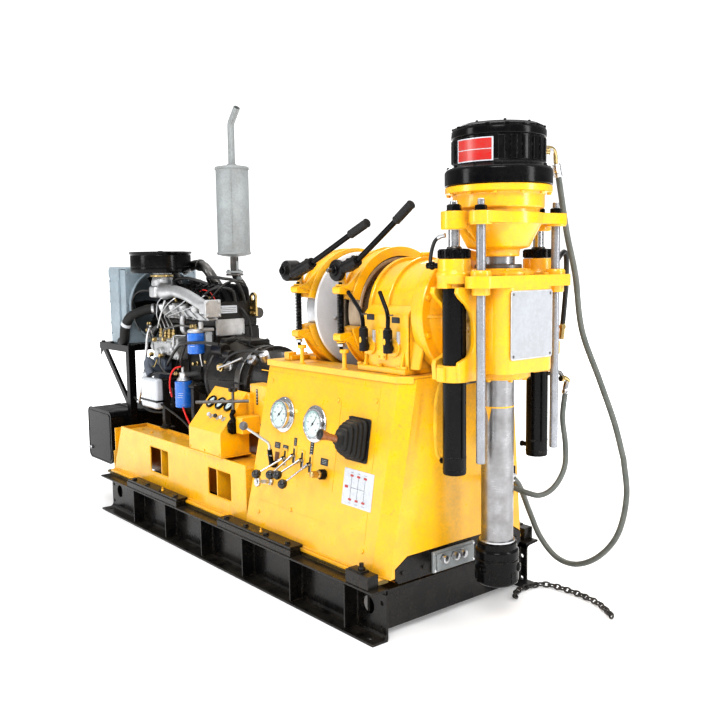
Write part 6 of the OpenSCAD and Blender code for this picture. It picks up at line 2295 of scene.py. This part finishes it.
# three dials
for x, needle in ((-195, 60), (-112, 130), (-30, 40)):
    base = slope(x, 148)
    face = tilted(base, SLOPE_UP, SLOPE_OUT)
    part.use("black")
    part.lathe("24,0.2 31,0.2 33,2 33,9 30,12 26,12 24.5,8 24,4", base, SLOPE_OUT, 48)
    part.use("dial")
    part.lathe("0,0.3 24.6,0.3 24.6,5 0,5", base, SLOPE_OUT, 40)
    part.use("ink")
    for i in range(11):
        part.radial(face, radians(210 - 24 * i), "17,-0.5 21,-0.5 21,0.5 17,0.5", 5,
                    SLOPE_OUT * 0.4)
    part.radial(face, radians(needle), "-5,-0.9 17,-0.3 17,0.3 -5,0.9", 5.6, SLOPE_OUT * 0.7)
# three knobs
for x, material in ((-121, "white"), (-60, "plastic"), (-8, "steel")):
    base = slope(x, 74)
    part.use("steel")
    part.hexa(base, SLOPE_OUT, 22, 5)
    part.cyl(base + SLOPE_OUT * 4, base + SLOPE_OUT * 13, 7, 20, 1)
    part.use(material)
    part.ball(base + SLOPE_OUT * 20, 11, 22, 0.8, SLOPE_OUT)
# black strip on the side box
part.use("plastic")
part.plate(rounded(92, 106, 728, 802, 2), on_y(-225, -1), 1.4, 0.4)
part.use("white")
for i in range(5):
    part.box(95.5, 102.5, -227, -226.2, 736 + i * 14, 741 + i * 14, 0)
part.use("steel")
for x in (48, 220):
    for z in (652, 810):
        part.lathe("0,0 4,0 4,2 2.6,3.2 0,3.4", (x, -225, z), NEAR, 16)
part.done("carriage", "console_box")

part = Part("throttle_v", "black")
part.lathe("0,38.4 28,38.4 30,40 30,55 28,57 20,57 18,55 10,55 10,60 0,60",
           (0, -325, 637), FORE, 56)
part.along_x("-356,622 -352,606 -336,596 -312,596 -312,612 -344,640", 41, 12, 2)
part.tube("50,-325,650 50,-329,672 50,-336,686 50,-326,704", 10.4, 20)
part.ball((50, -327, 702), 12.5, 24)
part.use("dark_steel")
part.cyl((50, -326, 700), (50, -326, 800), 7, 24, 1)
start, end = vec(-52, -465, 750), vec(93, -267, 750)
part.cyl(start, end, 7.5, 28, 1)
for low in (2, 14, 26):
    part.lathe([(7.4, low), (8.1, low + 1), (8.1, low + 3), (7.4, low + 4)], start,
               end - start, 28)
part.use("plastic")
part.plate(scalloped(17, 5, 5, 100, 50, -326), on_z(796), 16, 3)
part.lathe("0,811 8,811 8,815 6,817 0,817", (50, -326, 0), UP, 28)
part.done("throttle", "throttle_lever")

# ---------------------------------------------------------------- hoses
EYE = vec(CAMERA)


def sighted(y, z, depth):
    """Point at y = depth on the camera's line of sight through (SPIN_X, y, z)."""
    ray = vec(SPIN_X, y, z) - EYE
    return EYE + ray * ((depth - EYE.y) / ray.y)


def crimp(part, place, run, r, length=44):
    """Steel ferrule of a hose end."""
    part.use("steel")
    part.lathe([(0, 0), (r * 1.2, 0), (r * 1.34, 1.5), (r * 1.34, length * 0.55),
                (r * 1.24, length * 0.6), (r * 1.24, length * 0.66), (r * 1.34, length * 0.7),
                (r * 1.34, length - 2), (r * 1.1, length), (0, length)], place, run, 24)


# long hose from the chuck to the housing: y, z in the plane of the spindle
RISER = points("""293,1797 328,1789 334,1718 348,1675 382,1543 406,1459 457,1315 504,1098
    629,884 739,692""")
# then the same with the depth given
SAG = points("""813,521,476 840,353,484 782,201,486 649,132,486 495,132,486 361,191,484
    255,298,477 186,416,432""")
run_of_hose = [sighted(y, z, y if y < 350 else 350 + (y - 350) * 0.262) for y, z in RISER]
run_of_hose += [sighted(*station) for station in SAG]
entry = run_of_hose[2]
part = Part("feed_hose_top", "hose_grey")
part.tube(run_of_hose[2:11], 11.5, 18)
run = (run_of_hose[3] - entry).normalized()
crimp(part, entry - run * 26, run, 12.5, 52)
part.use("brass")
part.tube([vec(SPIN_X + 98, 125, 1762), vec(SPIN_X + 99, 146, 1774),
           run_of_hose[1] + vec(20, -100, 4), run_of_hose[1] + vec(8, -40, 8),
           run_of_hose[1] + vec(0, -8, -6), entry - run * 26], 8, 16)
hose = part.done()
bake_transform(hose)

part = Part("feed_hose_low", "hose_grey")
part.tube(run_of_hose[10:] + [sighted(130, 521, 330), vec(1218, 268, 508)], 11.5, 18)
crimp(part, (1192, 270, 508), FORE, 12.5, 34)
hose = part.done()
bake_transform(hose)

part = Part("hose_ports", "brass")
part.hexa((1192, 270, 508), FORE, 30, 12)
part.hexa((1192, 150, 520), FORE, 26, 12)
part.use("black")
part.box(1191, 1197, 110, 310, 480, 545, 2)
part.done("carriage")

# hose from the head to the housing, placed the same way
DROP = points("383,919 413,890 396,833 386,752 406,645 402,555")
LEAD_IN = points("344,489,262 263,467,225 174,490,190")
drain = [sighted(y, z, y * 0.78) for y, z in DROP] + [sighted(*station) for station in LEAD_IN]
drain.append(vec(1214, 150, 520))
back = (drain[1] - drain[2]).normalized()
part = Part("drain_hose", "hose_grey")
part.tube(drain[1:], 10.5, 18)
crimp(part, drain[1] + back * 8, drain[2] - drain[1], 11, 48)
crimp(part, (1196, 150, 520), FORE, 11, 28)
hose = part.done()
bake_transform(hose)

part = Part("head_hoses", "brass")
part.tube([drain[0], drain[0].lerp(drain[1], 0.5) + vec(0, 0, 10), drain[1] + back * 14,
           drain[1]], 8.5, 18)
part.hexa(drain[0] - vec(0, 12, 4), (0.1, 0.95, -0.1), 22, 14)
part.use("dark_steel")
elbow = vec(SPIN_X + 52, CYL_Y + 44, 950)
part.tube([vec(SPIN_X + 30, CYL_Y + 26, 948), elbow,
           drain[0].lerp(elbow, 0.4) + vec(0, 0, 12), drain[0]], 8, 16)
# far cylinder seat, down beside the head
part.use("hose")
part.tube([(SPIN_X + 9, CYL_Y + 92, 1364), (1378, 346, 1392), (1374, 378, 1410),
           (1371, 396, 1392), (1371, 399, 1340), (1371, 399, 1294), (1371, 389, 1200),
           (1371, 378, 1120)], 10, 18)
part.use("brass")
part.tube("1371,379,1130 1371,377,1108 1370,372,1070", 11, 18)
part.hexa((1371, 377.5, 1112), (0, 0.1, 1), 26, 14)
part.use("yellow")
part.box(1340, 1374, 300, 364, 1012, 1066, 6, 3)
# near cylinder seat, short bent pipe beside the rod
part.use("hose")
part.tube("1283,-256,1366 1287,-257,1390 1293,-256,1420 1303,-252,1448 1316,-246,1462",
          6.5, 16)
part.use("steel")
part.tube("1313,-247,1460 1326,-242,1466 1339,-236,1468", 8, 16)
part.use("hose_yellow")
part.tube([(SPIN_X - 62, -CYL_Y + 6, 668), (SPIN_X - 92, -CYL_Y + 4, 690),
           (SPIN_X - 118, -205, 780), (SPIN_X - 126, -190, 880), (SPIN_X - 116, -168, 960),
           (SPIN_X - 110, -152, 1010)], 7, 14)
part.use("brass")
part.hexa((SPIN_X - 108, -150, 1004), UP, 20, 16)
part.done("head")

# ---------------------------------------------------------------- chain on the floor
CHAIN = points("""1250,250,11 1210,300,11 1196,352,12 1202,412,11 1222,458,12 1266,480,11
    1320,482,12 1372,484,11 1422,479,11 1495,460,12 1560,426,11 1606,394,11""")
LINK_PITCH = 22
part = Part("pull_chain", "iron")
path = spline([vec(p) for p in CHAIN], 4)
links = []
travelled = 0.0
for last, place in zip(path, path[1:]):
    travelled += (place - last).length
    if travelled >= LINK_PITCH:
        links.append((place, (place - last).normalized()))
        travelled = 0.0
for i, (place, run) in enumerate(links):
    # links lie flat and stand up in turn
    across = vec(-run.y, run.x, 0)
    if i % 2:
        across = (across * 0.45 + UP * 0.9).normalized()
    else:
        across = (across * 0.95 + UP * 0.2).normalized()
    normal = run.cross(across).normalized()
    verts = []
    for j in range(14):
        turn = 2 * pi * j / 14
        middle = run * (17 * cos(turn)) + across * (9.4 * sin(turn))
        out = (run * cos(turn) * 0.6 + across * sin(turn)).normalized()
        for k in range(8):
            roll = 2 * pi * k / 8
            verts.append(place + UP * (1.5 + rnd.random() * 0.2) + middle
                         + out * (3.9 * cos(roll)) + normal * (3.9 * sin(roll)))
    part.skin(verts, 8, closed=True)
part.done("skid")

# ---------------------------------------------------------------- CAD nodes that stay
NODE_FINISH = {
    "crankshaft": "dark_steel", "cooling_fan": "black", "input_shaft": "turned",
    "winch_shaft": "turned", "band_linings": "lining", "travel_rod": "chrome",
    "travel_cylinder": "black", "drive_sleeve": "iron", "fan_belt": "rubber"}
SLOT_FINISH = {
    "yellow_paint": "yellow", "black_paint": "black", "engine_grey": "engine",
    "grey_paint": "grey_blue", "bright_steel": "steel", "chrome_rod": "chrome", "iron": "iron",
    "silver_cast": "cast_alu", "filter_blue": "blue", "wood_grip": "wood", "brass": "brass",
    "white_plate": "white", "gauge": "cast_alu", "black_plastic": "plastic",
    "black_rubber": "rubber", "lining": "lining", "greased_rail": "greased"}
for name, node in frame["nodes"].items():
    if node.hide_render:
        continue
    finish = NODE_FINISH.get(name)
    if finish is None:
        slot = next((row["material_slot"] for row in frame["record"]["subparts"]
                     if row["node"] == name), "")
        finish = SLOT_FINISH.get(slot, "black")
    node.data.materials.clear()
    node.data.materials.append(MATS[finish])

# ---------------------------------------------------------------- floor
FLOOR_HALF = 30  # metres
FLOOR_COLOUR = (0.90, 0.90, 0.90)
mesh = bpy.data.meshes.new("floor")
mesh.from_pydata([(x * FLOOR_HALF, y * FLOOR_HALF, 0)
                  for x, y in ((-1, -1), (1, -1), (1, 1), (-1, 1))], [], [(0, 1, 2, 3)])
net = material_net("floor_pale")
mottle = net.noise(net.place(), scale=1.5)
# the floor glows more with distance, so that it fades into the background
distance = net.node("VectorMath", operation="LENGTH")
net.feed(distance.inputs[0], net.place())
glow = net.ramp(distance.outputs["Value"], span=(1.6, 6.0), to=(0.16, 1.0))
net.finish(Base_Color=net.mix(mottle, FLOOR_COLOUR, [v * 0.97 for v in FLOOR_COLOUR]),
           Roughness=0.9, Emission_Color=(1, 1, 1), Emission_Strength=glow)
mesh.materials.append(MATS["floor_pale"])
floor = bpy.data.objects.new("floor", mesh)
floor.location = (0, 0, -0.0006)
bpy.context.scene.collection.objects.link(floor)

# ---------------------------------------------------------------- world
world = bpy.data.worlds.new("w")
bpy.context.scene.world = world
world.use_nodes = True
net = Net(world.node_tree)
output = net.node("OutputWorld")
background = net.node("Background")
split = net.node("SeparateXYZ")
net.feed(split.inputs[0], net.node("TexCoord").outputs["Generated"])
sky = net.ramp(split.outputs[2], span=(-0.05, 0.85), to=(0.22, 0.85))
# the camera sees an even white; everything else is lit by the graded sky
choice = net.node("Mix", data_type="FLOAT")
net.feed(choice.inputs[0], net.node("LightPath").outputs["Is Camera Ray"])
net.feed(choice.inputs[2], sky)
net.feed(choice.inputs[3], 1.05)
net.feed(background.inputs["Strength"], choice.outputs[0])
net.feed(background.inputs["Color"], (1, 1, 1))
net.feed(output.inputs[0], background.outputs[0])


# ---------------------------------------------------------------- lights, in metres and watts
def area(name, place, target, size, energy):
    light = bpy.data.lights.new(name, "AREA")
    light.shape = "RECTANGLE"
    light.size, light.size_y = size
    light.energy = energy
    light.color = (1, 1, 1)
    lamp = bpy.data.objects.new(name, light)
    lamp.location = place
    lamp.rotation_mode = "QUATERNION"
    lamp.rotation_quaternion = (vec(target) - vec(place)).to_track_quat("-Z", "Y")
    bpy.context.scene.collection.objects.link(lamp)


area("key", place=(4.6, -3.8, 4.6), target=(0.4, 0, 0.8), size=(2.6, 2.0), energy=190)
area("strip_r", place=(5.2, 1.6, 2.4), target=(1.2, 0, 1.1), size=(0.8, 3.2), energy=78)
area("strip_l", place=(-1.6, -5.2, 2.6), target=(0.0, 0, 0.8), size=(1.4, 2.6), energy=80)
area("top", place=(0.2, 0.4, 5.4), target=(0.2, 0, 0.8), size=(4.5, 3.0), energy=110)
area("back", place=(-3.4, 4.2, 3.6), target=(0, 0, 1.2), size=(2.0, 2.0), energy=60)

# ---------------------------------------------------------------- camera
HEADING, HEIGHT, ROLL = radians(50.76), radians(5.96), radians(-0.78)
back = vec(sin(HEADING) * cos(HEIGHT), -cos(HEADING) * cos(HEIGHT), sin(HEIGHT))
right = vec(cos(HEADING), sin(HEADING), 0)
up = back.cross(right)
rolled_right = right * cos(ROLL) + up * sin(ROLL)
rolled_up = up * cos(ROLL) - right * sin(ROLL)
lens = bpy.data.cameras.new("cam")
lens.sensor_width = 36
lens.lens = 43.6969014
lens.clip_start, lens.clip_end = 0.05, 200
camera = bpy.data.objects.new("cam", lens)
rows = zip(rolled_right, rolled_up, back, [v / 1000 for v in CAMERA])
camera.matrix_world = Matrix((*rows, (0, 0, 0, 1)))
bpy.context.scene.collection.objects.link(camera)
bpy.context.scene.camera = camera
view = bpy.context.scene.view_settings
view.view_transform = "Standard"
view.look = "Medium High Contrast"
view.exposure = 0.0
view.gamma = 1.0
